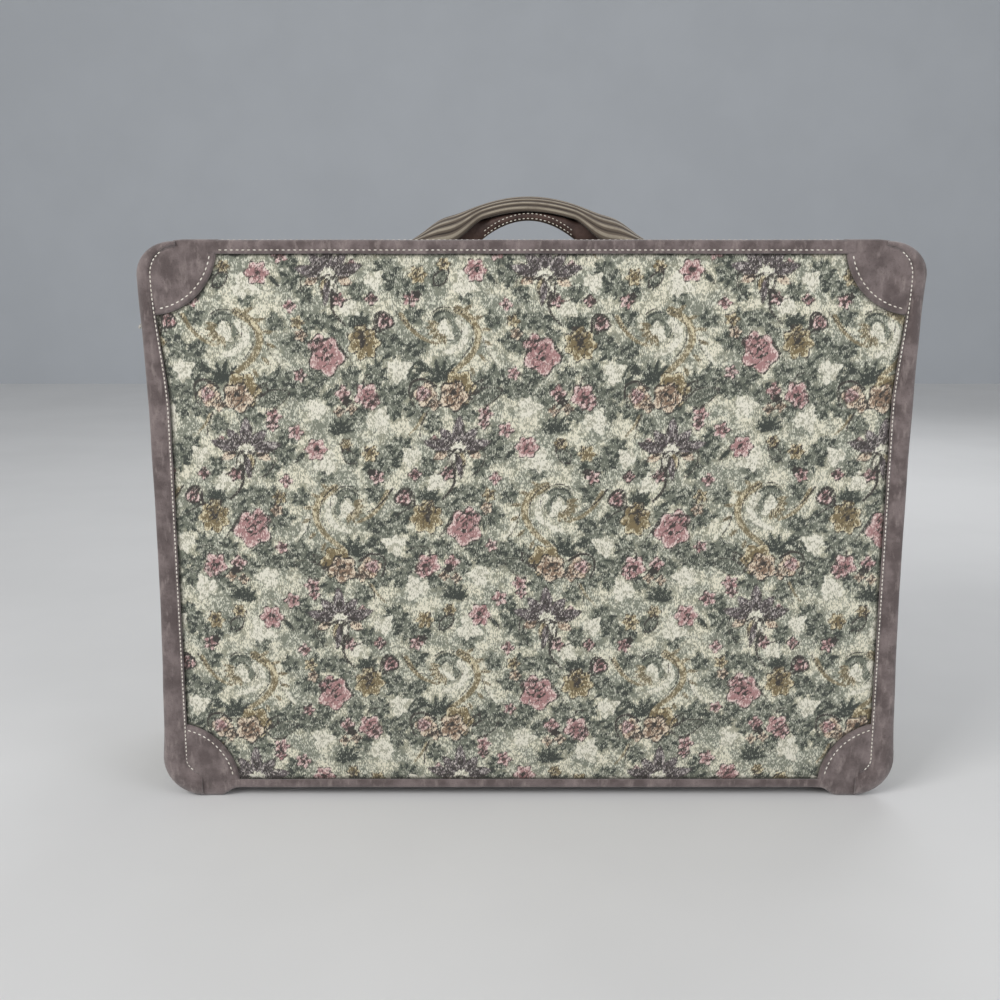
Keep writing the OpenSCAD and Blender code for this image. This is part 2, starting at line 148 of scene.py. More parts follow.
def curve_at(points, share):
    """A point on the smooth curve through some points."""
    place_on = share * (len(points) - 1)
    number = min(int(place_on), len(points) - 2)
    t = place_on - number
    p0 = points[max(number - 1, 0)]
    p1, p2 = points[number], points[number + 1]
    p3 = points[min(number + 2, len(points) - 1)]
    return tuple(
        0.5 * (2 * b + (c - a) * t + (2 * a - 5 * b + 4 * c - d) * t * t
               + (3 * b - a - 3 * c + d) * t ** 3)
        for a, b, c, d in zip(p0, p1, p2, p3))


def shade(red, green, blue):
    """A colour written as seen on a screen, as the linear colour that a shader takes."""
    parts = []
    for part in (red, green, blue):
        part /= 255
        parts.append(part / 12.92 if part < 0.04045 else ((part + 0.055) / 1.055) ** 2.4)
    return (*parts, 1.0)


# Shader helpers

def put(tree, kind, inputs=None, **settings):
    """Adds a node, sets its options, and fills or links its sockets."""
    node = tree.nodes.new(kind)
    for name, value in settings.items():
        setattr(node, name, value)
    for name, value in (inputs or {}).items():
        if isinstance(value, bpy.types.NodeSocket):
            tree.links.new(value, node.inputs[name])
        else:
            node.inputs[name].default_value = value
    return node


def sums(tree, operation, first, second=0.0):
    return put(tree, "ShaderNodeMath", {0: first, 1: second}, operation=operation).outputs[0]


def swing(tree, value, middle, amount):
    """How far a value is from its middle, times an amount."""
    return sums(tree, "MULTIPLY", sums(tree, "SUBTRACT", value, middle), amount)


def blend_colour(tree, share, low, high):
    return put(tree, "ShaderNodeMix", {0: share, 6: low, 7: high}, data_type="RGBA").outputs[2]


def step(tree, value, low, high, start=0.0, end=1.0):
    """A soft step of a value from one level to another."""
    node = put(tree, "ShaderNodeMapRange", {
        "Value": value, "From Min": low, "From Max": high, "To Min": start, "To Max": end,
    }, interpolation_type="SMOOTHSTEP")
    return node.outputs[0]


def tint(tree, colour, value, low, high, most, tone):
    """Lays a tone over a colour, up to a share, where a value steps up."""
    return blend_colour(tree, step(tree, value, low, high, 0.0, most), colour, shade(*tone))


def cloud(tree, vector, scale, detail=2.0, roughness=0.5):
    node = put(tree, "ShaderNodeTexNoise", {
        "Vector": vector, "Scale": scale, "Detail": detail, "Roughness": roughness,
    })
    return node.outputs["Fac"]


def stretched(tree, vector, scale):
    return put(tree, "ShaderNodeMapping", {"Vector": vector, "Scale": scale}).outputs[0]


def value_of(tree, name):
    """A value that a piece keeps for each of its points."""
    return put(tree, "ShaderNodeAttribute", attribute_name=name).outputs["Fac"]


def new_group(name, inputs, outputs):
    """Starts a shader node group with a vector, named values and named results."""
    tree = bpy.data.node_groups.new(name, "ShaderNodeTree")
    tree.interface.new_socket(name="Vector", in_out="INPUT", socket_type="NodeSocketVector")
    for way, labels in (("INPUT", inputs), ("OUTPUT", outputs)):
        for label in labels:
            tree.interface.new_socket(name=label, in_out=way, socket_type="NodeSocketFloat")
    return tree, tree.nodes.new("NodeGroupInput").outputs, tree.nodes.new("NodeGroupOutput").inputs


def weave_group():
    """Threads of a cloth: long streaks across, a fuzz of single threads, and the ribs' height."""
    tree, source, result = new_group("thread_weave", ("Across", "Along"), ("Streak", "Fuzz", "Rib"))
    parts = put(tree, "ShaderNodeSeparateXYZ", {0: source["Vector"]})
    across = sums(tree, "MULTIPLY", parts.outputs[0], source["Across"])
    along = sums(tree, "MULTIPLY", parts.outputs[1], source["Along"])
    pair = put(tree, "ShaderNodeCombineXYZ", {0: across, 1: along}).outputs[0]
    streak = cloud(tree, pair, 1.0, 2.0, 0.6)
    fuzz = cloud(tree, stretched(tree, pair, (1.7, 2.6, 1.0)), 1.3, 3.0, 0.7)
    turns = sums(tree, "ADD", sums(tree, "MULTIPLY", across, 3.1416), swing(tree, streak, 0.5, 2.4))
    rib = sums(tree, "ABSOLUTE", sums(tree, "SINE", turns))
    for label, socket in (("Streak", streak), ("Fuzz", fuzz), ("Rib", rib)):
        tree.links.new(socket, result[label])
    return tree


def wear_group():
    """Wear of a worked surface: broad blotches and a fine grain."""
    tree, source, result = new_group("surface_wear", ("Broad", "Fine"), ("Blotch", "Grain"))
    for label, size, detail, roughness in (("Blotch", "Broad", 3.0, 0.6), ("Grain", "Fine", 4.0, 0.65)):
        tree.links.new(cloud(tree, source["Vector"], source[size], detail, roughness), result[label])
    return tree


WEAVE = weave_group()
WEAR = wear_group()


def weave(tree, vector, across, along):
    sockets = {"Vector": vector, "Across": across, "Along": along}
    return put(tree, "ShaderNodeGroup", sockets, node_tree=WEAVE).outputs


def wear(tree, vector, broad, fine):
    sockets = {"Vector": vector, "Broad": broad, "Fine": fine}
    return put(tree, "ShaderNodeGroup", sockets, node_tree=WEAR).outputs


def new_material(name, **shader):
    """Starts a material and sets what is the same all over on the shader itself."""
    material = bpy.data.materials.new(name)
    material.use_nodes = True
    tree = material.node_tree
    surface = tree.nodes["Principled BSDF"].inputs
    for label, value in shader.items():
        surface[label.replace("_", " ")].default_value = value
    return material, tree, surface


def place(tree, source="Object"):
    """Where a point is: on the object, or on the cloth's own map."""
    if source == "Object":
        return put(tree, "ShaderNodeTexCoord").outputs["Object"]
    return put(tree, "ShaderNodeUVMap", uv_map=source).outputs[0]


def emboss(tree, surface, height, distance, strength=1.0):
    bump = put(tree, "ShaderNodeBump", {
        "Height": height, "Distance": distance, "Strength": strength,
    })
    tree.links.new(bump.outputs[0], surface["Normal"])


# Tapestry pattern. Each colour of the print is a field over the cloth: how far, in
# millimetres, a point lies inside the nearest shape of that colour.

OUTSIDE = -9.0

# Each colour's pale and deep threads, its share of deep ones, and how far they fray its outline.
INKS = {
    "ground_leaf": ((206, 207, 192), (122, 127, 114), 0.46, 1.0),
    "dark": ((164, 167, 154), (74, 79, 74), 0.6, 1.0),
    "ivory": ((250, 247, 232), (190, 188, 168), 0.22, 1.0),
    "beige": ((226, 216, 186), (136, 126, 100), 0.42, 1.0),
    "ochre": ((232, 222, 190), (138, 124, 94), 0.44, 1.4),
    "cream": ((242, 228, 206), (156, 132, 112), 0.36, 1.3),
    "pink": ((243, 222, 216), (184, 142, 141), 0.42, 1.5),
    "mauve": ((218, 211, 206), (118, 110, 112), 0.42, 1.2),
    "line": ((150, 144, 136), (74, 71, 68), 0.66, 0.55),
}


class TapestryPrint:
    """Draws the sprays of the tapestry on the points of a cloth."""

    def __init__(self, across, up):
        self.across = across.astype(np.float32)
        self.up = up.astype(np.float32)
        self.fields = {name: np.full(len(across), OUTSIDE, np.float32) for name in INKS}
        self.row = (0.0, 0.0)
        self.turn = 1

    def start_row(self, x, z, turn):
        self.row = (x, z)
        self.turn = turn

    def local(self, x, y, reach):
        """The points within reach of a place in the spray, and their offsets from it."""
        right = self.across - np.float32(self.row[0] + self.turn * x)
        above = self.up - np.float32(self.row[1] + y)
        right -= REPEAT_W * np.rint(right / REPEAT_W)
        above -= REPEAT_H * np.rint(above / REPEAT_H)
        reach += 6
        near = np.flatnonzero((np.abs(right) < reach) & (np.abs(above) < reach))
        return near, right[near] * self.turn, above[near]

    def lay(self, colour, near, inside):
        field = self.fields[colour]
        field[near] = np.maximum(field[near], inside)

    def flower(self, colour, x, y, radius, petals=5, depth=0.12, outline=0.45, turn=0.0):
        """A round bloom with petal lobes, petal lines and a dark rim."""
        near, right, above = self.local(x, y, 1.3 * radius)
        angle = np.arctan2(above, right)
        reach = np.hypot(right, above)
        edge = radius * (1 + depth * np.cos(petals * angle + turn))
        self.lay(colour, near, edge - reach)
        self.lay("line", near, outline - np.abs(edge - reach))
        whorl = reach - radius * (0.56 + 0.16 * np.cos((petals - 1) * angle + 2.1 * turn + 1))
        whorl = np.where(reach < 0.95 * radius, 0.75 * outline - np.abs(whorl), OUTSIDE)
        self.lay("line", near, whorl)
        heart = reach - radius * (0.25 + 0.07 * np.cos(3 * angle + turn))
        self.lay("line", near, 0.9 * outline - np.abs(heart))

    def blade(self, x, y, length, width, angle, notch=0.0):
        """A pointed leaf's points: which they are, and how far from its rib, its ends and its edge."""
        near, right, above = self.local(x, y, length)
        lean = math.radians(angle)
        along = right * math.cos(lean) + above * math.sin(lean)
        beside = above * math.cos(lean) - right * math.sin(lean)
        share = np.clip(along / length, 0, 1)
        half = width / 2 * np.maximum(np.sin(math.pi * share ** 0.8), 0) ** 0.8
        half = half * (1 + notch * np.sin(2.2 * along + 1.5 * np.abs(beside)))
        ends = np.minimum(along, length - along)
        return near, beside, ends, np.minimum(half - np.abs(beside), ends)

    def leaf(self, colour, x, y, length, width, angle, edge=0.0, rib=True):
        """A leaf that starts at a place, with a middle rib and an outline."""
        near, beside, ends, inside = self.blade(x, y, length, width, angle)
        self.lay(colour, near, inside)
        if rib:
            spine = "line" if colour != "dark" else "ground_leaf"
            self.lay(spine, near, np.where(ends > 0, 0.3 - np.abs(beside), OUTSIDE))
        if edge:
            self.lay("line", near, edge - np.abs(inside))

    def split_leaf(self, x, y, length, width, angle):
        """A leaf with one half in shade and a notched edge."""
        near, beside, _, inside = self.blade(x, y, length, width, angle, 0.3)
        self.lay("ground_leaf", near, inside)
        self.lay("dark", near, np.minimum(inside, 0.1 * width + beside))

    def fan(self, x, y, length, width, start, end, count):
        """Leaves that spread from one place."""
        for share in shares(count - 1):
            reach = length * (0.78 + 0.22 * math.sin(math.pi * share))
            self.split_leaf(x, y, reach, width, mix(start, end, share))

    def blob(self, colour, x, y, radius, seed):
        """A patch of colour with a ragged outline."""
        near, right, above = self.local(x, y, 1.5 * radius)
        angle = np.arctan2(above, right)
        edge = radius * (1 + 0.2 * np.cos(3 * angle + seed) + 0.15 * np.cos(5 * angle + 2 * seed)
                         + 0.12 * np.cos(9 * angle + 3 * seed))
        self.lay(colour, near, edge - np.hypot(right, above))

    def foliage(self, x, y, radius, count=8):
        """A clump of notched leaves that spread from its middle."""
        seed = int(10 * x - 7 * y)
        pick = random.Random(seed)
        self.blob("ground_leaf", x, y, 0.72 * radius, seed)
        for number in range(count):
            angle = 360 * (number + pick.uniform(-0.3, 0.3)) / count
            lean = math.radians(angle)
            start = radius * pick.uniform(0.1, 0.5)
            length = radius * pick.uniform(0.55, 0.9)
            self.split_leaf(x + start * math.cos(lean), y + start * math.sin(lean), length,
                            length * pick.uniform(0.45, 0.65), angle + pick.uniform(-30, 30))

    def stem(self, colour, width, thin, points):
        """A curved stroke through its points, thinner at its far end."""
        along = shares(4 * (len(points) - 1))
        spots = [curve_at(points, share) for share in along]
        for share, start, end in zip(along[1:], spots, spots[1:]):
            self.stroke(colour, start, end, width * mix(1, thin, share))

    def stroke(self, colour, start, end, width):
        run, rise = end[0] - start[0], end[1] - start[1]
        near, right, above = self.local(*start, math.hypot(run, rise) + width)
        share = np.clip((right * run + above * rise) / (run * run + rise * rise), 0, 1)
        gap = np.hypot(right - share * run, above - share * rise)
        self.lay(colour, near, width / 2 - gap)


# What a spray holds, in millimetres from its upper left corner.

# Clumps of foliage: place and radius.
CLUMPS = (
    (11, -88, 9), (5, -99, 7), (4, -47, 9), (1, -62, 9), (20, -45, 9), (29, -57, 7), (65, -58, 9),
    (72, -67, 9), (57, -86, 10), (38, -88, 9), (88, -20, 10), (107, -12, 9), (77, -17, 9), (87, -43, 9),
    (90, -67, 8), (84, -75, 9), (81, -96, 12), (71, -113, 9), (89, -113, 10), (125, -117, 11),
    (139, -93, 8), (164, -62, 9), (150, -88, 9), (163, -98, 9), (156, -133, 9), (163, -10, 10),
    (70, -7, 10), (46, -24, 8), (128, -28, 7), (149, -46, 8), (22, -103, 9), (46, -116, 8),
    (101, -126, 8), (65, -101, 7), (5, -24, 8),
)

# Flowers: place, radius, petals, depth of the lobes, outline and turn.
FLOWERS = {
    "pink": (
        (43, -2, 4, 4, 0.2), (32, -29, 4.8, 5, 0.25, 0.7), (19, -72, 13.5, 5, 0.13, 0.7, 0.7),
        (14, -64, 8, 4, 0.16, 0.6, 0.2), (66, -47, 6, 3, 0.12, 0.9, 0.9), (50, -102, 9, 5, 0.15, 0.6, 1.4),
        (54, -107, 6, 5, 0.15, 0.6, 0.4), (31, -100, 5.5, 4, 0.22, 0.6), (93, -102, 5.5, 3, 0.15, 0.4),
        (143, -118, 5.5, 5, 0.25, 0.6), (142, -126, 4, 4, 0.25, 0.6), (160, -131, 5.6, 5, 0.25, 0.6),
        (57, -29, 4.4, 4, 0.2, 0.7), (86, -30, 5, 5, 0.3, 0.7), (137, -7, 8.5, 6, 0.14, 0.6),
        (161, -33, 4.5, 4, 0.25, 0.5), (165, -86, 4.5, 5, 0.25, 0.6),
    ),
    "ochre": (
        (49, -63, 12, 7, 0.13, 0.6, 0.4), (48, -55, 6, 5, 0.15, 0.6, 1.1), (121, -98, 13, 6, 0.12, 0.5),
        (92, -11, 6.5, 6, 0.2, 0.5), (112, -3, 5, 6, 0.2, 0.5), (166, -46, 5, 5, 0.25, 0.5),
    ),
    "cream": (
        (38, -112, 4, 4, 0.25, 0.5), (28, -114, 4, 4, 0.25, 0.5), (117, -104, 11, 5, 0.12, 0.7, 0.5),
        (95, -103, 8.5, 4, 0.14, 0.5, 0.8), (102, -110, 5, 4, 0.2, 0.5), (168, -56, 4.5, 5, 0.2, 0.5),
    ),
    "line": (
        (20, -74, 1.6, 5, 0.3, 0.2), (48, -63, 1.8, 5, 0.3, 0.2), (34, -106, 3.4, 5, 0.35, 0.2),
        (116, -101, 1.8, 5, 0.3, 0.2), (91, -26, 3, 5, 0.3, 0.2), (138, -6, 1.4, 5, 0.3, 0.2),
    ),
}

# Single leaves: colour, place, length, width, angle and outline.
LEAVES = (
    ("mauve", 24, -13, 21, 6, -99, 0.4), ("ochre", 22, -11, 15, 7, -100, 0.6),
    ("ivory", 27, -11, 15, 6, -80, 0.8), ("cream", 32, -11, 13, 8, -28, 0.4),
    ("cream", 16, -10, 13, 8, -150, 0.5), ("ground_leaf", 132, -109, 27, 13, 24, 0.6),
    ("ground_leaf", 131, -103, 15, 7, 52, 0.7), ("ground_leaf", 104, -19, 17, 9, 48, 0.8),
    ("dark", 146, -9, 12, 4, -48, 0.4),
)

# Fans of leaves: place, length, width, first and last angle, and count.
FANS = (
    (47, -52, 15, 5.2, 30, 150, 6), (30, -132, 16, 5, 15, 165, 7), (108, -92, 18, 6, 20, 170, 6),
    (97, -85, 15, 3.8, 125, 170, 3),
)

# Ivory patches of the ground: place, radius and seed.
PATCHES = (
    (24, -6, 8, 1), (110, -55, 7, 2), (128, -18, 9, 1), (60, -14, 7, 4), (75, -84, 8, 5), (60, -122, 9, 3),
    (9, -112, 8, 6), (40, -35, 7, 2),
)

# Stems, tendrils and the scroll's tails: colour, width, how thin the end is, and points.
STEMS = (
    ("line", 1.7, 0.7, ((23, -9), (13, -13), (4, -9), (2, -18), (7, -27), (13, -31))),
    ("line", 1.7, 0.6, ((25, -9), (34, -12), (42, -10), (47, -6))),
    ("line", 2.4, 0.8, ((28, -22), (26, -31), (28, -40), (36, -49))),
    ("line", 1.5, 0.5, ((34, -31), (40, -29), (46, -26))),
    ("line", 1.8, 0.5, ((30, -64), (36, -73), (42, -82))),
    ("line", 2.0, 0.6, ((58, -52), (59, -43), (64, -39), (71, -43), (73, -49))),
    ("line", 1.8, 0.5, ((57, -53), (66, -57), (74, -62))),
    ("line", 1.8, 0.5, ((48, -96), (49, -88), (55, -86), (63, -88))),
    ("ivory", 7.5, 0.5, ((122, -47), (127, -57), (121, -67), (109, -72))),
    ("beige", 7, 0.6, ((121, -38), (133, -47), (137, -60), (130, -74), (116, -86))),
    ("ochre", 3.4, 0.5, ((131, -44), (138, -55), (136, -66))),
    ("line", 1.2, 0.8, ((119, -36), (129, -44), (133, -54), (131, -65), (123, -76))),
    ("ivory", 4, 0.6, ((143, -60), (147, -71), (154, -80))),
    ("line", 1.2, 0.6, ((140, -58), (144, -70), (152, -81))),
    ("line", 1.7, 0.5, ((74, -39), (80, -47), (88, -54), (97, -58))),
    ("beige", 4.5, 0.5, ((78, -42), (84, -52), (92, -60), (103, -65))),
    ("line", 2.4, 0.7, ((103, -97), (93, -91), (84, -94), (83, -103), (87, -112))),
    ("beige", 3.0, 0.5, ((95, -118), (90, -127), (84, -134))),
    ("line", 1.8, 0.6, ((97, -116), (93, -126), (92, -136))),
)

# The palmette's leaves: angle, reach and width.
PALMETTE = ((90, 26, 8.5), (129, 21, 8), (51, 21, 8), (165, 25, 8.5), (16, 26, 8.5))

# The scroll's arcs from the inside out: colour and width, and the line of its outer leaves.
SCROLL = (("dark", 2.2), ("ground_leaf", 6.5), ("dark", 2.4), ("line", 1.3))
SCROLL_BACK = ((126, -39), (137, -49), (141, -62), (134, -77), (122, -87))


def draw_palmette(cloth):
    """The spread, striped palmette at the head of a spray."""
    for angle, reach, width in PALMETTE:
        lean = math.radians(angle)
        start = (24 + 6 * math.cos(lean), -10 + 6 * math.sin(lean))
        cloth.leaf("mauve", *start, reach - 3, width + 1, angle, 0.45)
        for turn in (-12, 12):
            cloth.leaf("line", *start, 0.72 * reach, 1.4, angle + turn, rib=False)


def draw_scroll(cloth):
    """The hatched scroll with its acanthus leaves, and the veins of the large leaf beside it."""
    for number, (colour, width) in enumerate(SCROLL):
        reach = 6.0 + 2.9 * number
        points = []
        for share in shares(10):
            angle = math.radians(mix(160 - 8 * number, -95 + 8 * number, share))
            points.append((111 + 0.92 * reach * math.cos(angle), -51 + reach * math.sin(angle)))
        cloth.stem(colour, width, 0.4, points)
    for share in shares(5):
        angle = mix(150, 260, share)
        lean = math.radians(angle)
        cloth.leaf("beige", 110 + 5 * math.cos(lean), -52 + 5 * math.sin(lean), 10, 3.4, angle + 18)
    for share in shares(6):
        cloth.leaf("beige", *curve_at(SCROLL_BACK, share), 9, 3.2, mix(35, -85, share))
    for share in shares(4):
        for angle in (70, -22):
            cloth.leaf("dark", mix(137, 151, share), mix(-107, -101, share), 6.5, 1.3, angle, rib=False)


def draw_spray(cloth):
    """All the shapes of one spray; where two of a colour meet, the deeper one counts."""
    for x, y, radius in CLUMPS:
        cloth.foliage(x, y, 1.05 * radius)
    for colour, flowers in FLOWERS.items():
        for flower in flowers:
            cloth.flower(colour, *flower)
    for leaf in LEAVES:
        cloth.leaf(*leaf)
    for fan in FANS:
        cloth.fan(*fan)
    for patch in PATCHES:
        cloth.blob("ivory", *patch)
    for stem in STEMS:
        cloth.stem(*stem)
    draw_palmette(cloth)
    draw_scroll(cloth)


def add_values(mesh, name, values):
    """Keeps a value for each point of a piece, for its material."""
    mesh.attributes.new(name, "FLOAT", "POINT").data.foreach_set("value", values.astype(np.float32))


def map_threads(mesh, across, up):
    corners = np.empty(len(mesh.loops), dtype=np.int32)
    mesh.loops.foreach_get("vertex_index", corners)
    pairs = np.stack([across[corners], up[corners]], axis=1) * MM
    mesh.uv_layers.new(name="threads").data.foreach_set("uv", pairs.ravel())


def print_on(mesh, across, up):
    """Gives a cloth its print, as values of its points, and its own map of the threads."""
    warp = 1.6 * np.sin(up / 31 + 0.7 * np.sin(across / 47)) + 0.9 * np.sin(across / 19 + 2)
    weft = 1.3 * np.sin(across / 37 + 0.5 * np.sin(up / 53)) + 0.8 * np.sin(up / 17 + 1)
    cloth = TapestryPrint(across + warp, up + weft)
    for x, z, turn in ((SPRAY_X, SPRAY_Z, 1),
                       (SPRAY_X + 1.5 * REPEAT_W / 2 + 20, SPRAY_Z - REPEAT_H / 2, -1)):
        cloth.start_row(x, z, turn)
        draw_spray(cloth)
    for name, field in cloth.fields.items():
        add_values(mesh, name, np.clip(field, -6, 6))
    map_threads(mesh, across, up)


# Materials

def tapestry_material():
    """Jacquard tapestry: each shape of the print is a mix of light and dark threads, with a painted shadow
    along the edges of the trim.
    """
    material, tree, surface = new_material(
        "tapestry", Roughness=0.93, Sheen_Weight=0.15, Specular_IOR_Level=0.15)
    at = place(tree, "threads")
    threads = weave(tree, at, 1250, 430)
    frays = sums(tree, "ADD", swing(tree, threads["Fuzz"], 0.5, 4.0),
                 swing(tree, threads["Streak"], 0.5, 2.5))

    def mask(name, low=-0.4, high=0.4, ragged=1.0):
        edge = sums(tree, "MULTIPLY", frays, ragged)
        return step(tree, sums(tree, "ADD", value_of(tree, name), edge), low, high)

    def between(share, low, high):
        return put(tree, "ShaderNodeMix", {0: share, 2: low, 3: high}).outputs[0]

    dull = step(tree, cloud(tree, at, 46, 3.0, 0.6), 0.38, 0.6)
    light = blend_colour(tree, dull, shade(248, 244, 224), shade(232, 232, 216))
    deep = blend_colour(tree, dull, shade(176, 175, 154), shade(140, 144, 130))
    density = between(dull, 0.22, 0.42)
    density = between(mask("dark", -3.0, -0.3), density, 0.5)
    for name, (pale_thread, deep_thread, amount, ragged) in INKS.items():
        inside = mask(name, ragged=ragged)
        if name in ("ochre", "cream", "pink"):
            amount = step(tree, value_of(tree, name), 0.2, 6.0, amount - 0.22, amount + 0.14)
        light = blend_colour(tree, inside, light, shade(*pale_thread))
        deep = blend_colour(tree, inside, deep, shade(*deep_thread))
        density = between(inside, density, amount)
    cells = put(tree, "ShaderNodeTexVoronoi", {
        "Vector": stretched(tree, at, (330, 240, 1)), "Scale": 1.0, "Detail": 1.0,
    }).outputs["Distance"]
    cover = sums(tree, "ADD", threads["Streak"], swing(tree, density, 0.5, 0.5))
    cover = sums(tree, "ADD", cover, swing(tree, cells, 0.42, 0.3))
    colour = blend_colour(tree, step(tree, cover, 0.44, 0.58), light, deep)
    # Painted shadow: the cloth turns dark brown within a few millimetres of the suede trim, where the trim
    # would shade it.
    painted_trim_shadow = sums(tree, "MULTIPLY", value_of(tree, "shadow"), 0.9)
    colour = blend_colour(tree, painted_trim_shadow, colour, shade(46, 42, 38))
    tree.links.new(colour, surface["Base Color"])
    height = sums(tree, "ADD", threads["Rib"], sums(tree, "MULTIPLY", threads["Fuzz"], 1.4))
    emboss(tree, surface, height, 0.0005, 0.8)
    return material


def suede_material():
    """Split suede with a brushed nap, paler where it is rubbed."""
    material, tree, surface = new_material(
        "suede", Roughness=0.9, Sheen_Weight=0.35, Sheen_Roughness=0.6, Specular_IOR_Level=0.2)
    at = place(tree)
    marks = wear(tree, at, 55, 900)
    nap = cloud(tree, stretched(tree, at, (1.0, 1.0, 0.35)), 210, 3.0, 0.6)
    colour = blend_colour(tree, step(tree, marks["Blotch"], 0.35, 0.68),
                          shade(88, 77, 76), shade(122, 110, 109))
    colour = tint(tree, colour, nap, 0.5, 0.72, 0.6, (146, 134, 131))
    colour = tint(tree, colour, marks["Grain"], 0.52, 0.7, 0.5, (68, 59, 58))
    tree.links.new(colour, surface["Base Color"])
    emboss(tree, surface, sums(tree, "ADD", marks["Grain"], nap), 0.0005, 0.7)
    return material


def ribbed_strap_material():
    """Corded upholstery strip: pale cords with darker grooves between them, and painted shade on the strap's
    hollow underside.
    """
    material, tree, surface = new_material(
        "ribbed_strap", Roughness=0.88, Sheen_Weight=0.25, Specular_IOR_Level=0.2)
    cord_and_shade = value_of(tree, "cord_and_shade")
    marks = wear(tree, place(tree), 60, 1500)
    # Low values, in the grooves and on the strap's underside, give the dark tone; on the underside it is
    # painted shade.
    colour = blend_colour(tree, step(tree, cord_and_shade, 0.1, 0.7), shade(52, 45, 41), shade(106, 96, 86))
    colour = tint(tree, colour, cord_and_shade, 0.82, 0.98, 1.0, (166, 157, 142))
    colour = tint(tree, colour, marks["Blotch"], 0.45, 0.7, 0.45, (98, 88, 79))
    colour = tint(tree, colour, marks["Grain"], 0.52, 0.72, 0.45, (72, 64, 59))
    tree.links.new(colour, surface["Base Color"])
    emboss(tree, surface, marks["Grain"], 0.0005, 0.8)
    return material


def cloth_material(name, light, deep, across, along, roughness=0.85, sheen=0.2):
    """A plain woven cloth in two close tones."""
    material, tree, surface = new_material(name, Roughness=roughness, Sheen_Weight=sheen)
    at = place(tree, "threads")
    threads = weave(tree, at, across, along)
    colour = blend_colour(tree, step(tree, threads["Rib"], 0.15, 0.8), shade(*deep), shade(*light))
    colour = tint(tree, colour, cloud(tree, at, 22, 3.0, 0.6), 0.4, 0.7, 0.35, deep)
    colour = tint(tree, colour, threads["Fuzz"], 0.45, 0.7, 0.4, deep)
    tree.links.new(colour, surface["Base Color"])
    emboss(tree, surface, threads["Rib"], 0.0003, 0.6)
    return material


def worn_material(name, sizes, tones, spread, bump=None, gloss=None, speck=None, **shader):
    """A plain finish in two tones, with blotches and grain of these sizes.

    The grain gives its relief, the range of its gloss and its specks, where it has them.
    """
    material, tree, surface = new_material(name, **shader)
    marks = wear(tree, place(tree), *sizes)
    colour = blend_colour(tree, step(tree, marks["Blotch"], *spread), shade(*tones[0]), shade(*tones[1]))
    if speck:
        colour = tint(tree, colour, marks["Grain"], 0.5, 0.7, 0.5, speck)
    tree.links.new(colour, surface["Base Color"])
    if gloss:
        tree.links.new(step(tree, marks["Grain"], 0.3, 0.7, *gloss), surface["Roughness"])
    if bump:
        emboss(tree, surface, marks["Grain"], *bump)
    return material


def metal_material(name, light, deep, gloss, broad=140):
    """Plated metal with dulled patches."""
    return worn_material(name, (broad, 2600), (light, deep), (0.4, 0.7), (0.00005, 0.5), gloss, Metallic=1.0)


TAPESTRY = tapestry_material()
SUEDE = suede_material()
RIBBED_STRAP = ribbed_strap_material()
THREAD = worn_material("sewing_thread", (120, 2500), ((214, 207, 194), (236, 232, 222)), (0.3, 0.7),
                       (0.0001, 1.0), Roughness=0.75, Sheen_Weight=0.2)
BOARD = worn_material("fibre_board", (30, 700), ((140, 132, 120), (112, 104, 94)), (0.35, 0.7),
                      (0.0003, 1.0), speck=(166, 156, 140), Roughness=0.9)
GRIP_LEATHER = worn_material("grip_leather", (70, 700), ((62, 46, 42), (86, 66, 60)), (0.35, 0.7),
                             (0.0004, 1.0), gloss=(0.45, 0.7), Specular_IOR_Level=0.4)
NICKEL = metal_material("nickel", (206, 202, 194), (160, 154, 146), (0.18, 0.4))
STEEL = metal_material("steel", (168, 168, 166), (130, 128, 124), (0.3, 0.5))
ZIP_METAL = metal_material("zip_metal", (150, 140, 120), (96, 88, 76), (0.3, 0.55), 260)
LINING = cloth_material("lining", (190, 176, 154), (158, 144, 122), 1600, 1500, 0.7, 0.4)
WEBBING = cloth_material("webbing", (96, 84, 78), (60, 52, 50), 900, 420)


# Mesh helpers

def as_mesh(bm, name):
    mesh = bpy.data.meshes.new(name)
    bm.to_mesh(mesh)
    bm.free()
    return mesh


def place_piece(mesh, name, node, body, material, crease=50):
    """Makes a mesh a piece that rides on a body, and hides the CAD node whose place it takes."""
    mesh.materials.append(material)
    mesh.polygons.foreach_set("use_smooth", [True] * len(mesh.polygons))
    mesh.set_sharp_from_angle(angle=math.radians(crease))
    piece = bpy.data.objects.new(name, mesh)
    bpy.context.scene.collection.objects.link(piece)
    if body:
        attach(piece, body)
    if node:
        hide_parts(node)
    return piece


def finish_piece(bm, name, node, body, material, crease=50):
    """Turns a mesh in millimetres into a piece in metres."""
    bmesh.ops.scale(bm, vec=(MM, MM, MM), verts=bm.verts[:])
    return place_piece(as_mesh(bm, name), name, node, body, material, crease)


def sweep(rings):
    """A mesh that extrudes a ring of points through all the others, with both ends capped."""
    bm = bmesh.new()
    verts = [bm.verts.new(point) for point in rings[0]]
    edges = [bm.edges.new((verts[i - 1], verts[i])) for i in range(len(verts))]
    number_of = {vert: i for i, vert in enumerate(verts)}
    ends = list(edges)
    for ring in rings[1:]:
        grown = bmesh.ops.extrude_edge_only(bm, edges=edges)["geom"]
        fresh = {}
        for vert in (g for g in grown if isinstance(g, bmesh.types.BMVert)):
            for edge in vert.link_edges:
                source = edge.other_vert(vert)
                if source in number_of:
                    fresh[vert] = number_of[source]
        for vert, number in fresh.items():
            vert.co = ring[number]
        number_of = fresh
        edges = [g for g in grown if isinstance(g, bmesh.types.BMEdge)
                 and g.verts[0] in fresh and g.verts[1] in fresh]
    bmesh.ops.holes_fill(bm, edges=ends + edges, sides=0)
    bmesh.ops.recalc_face_normals(bm, faces=bm.faces[:])
    return bm


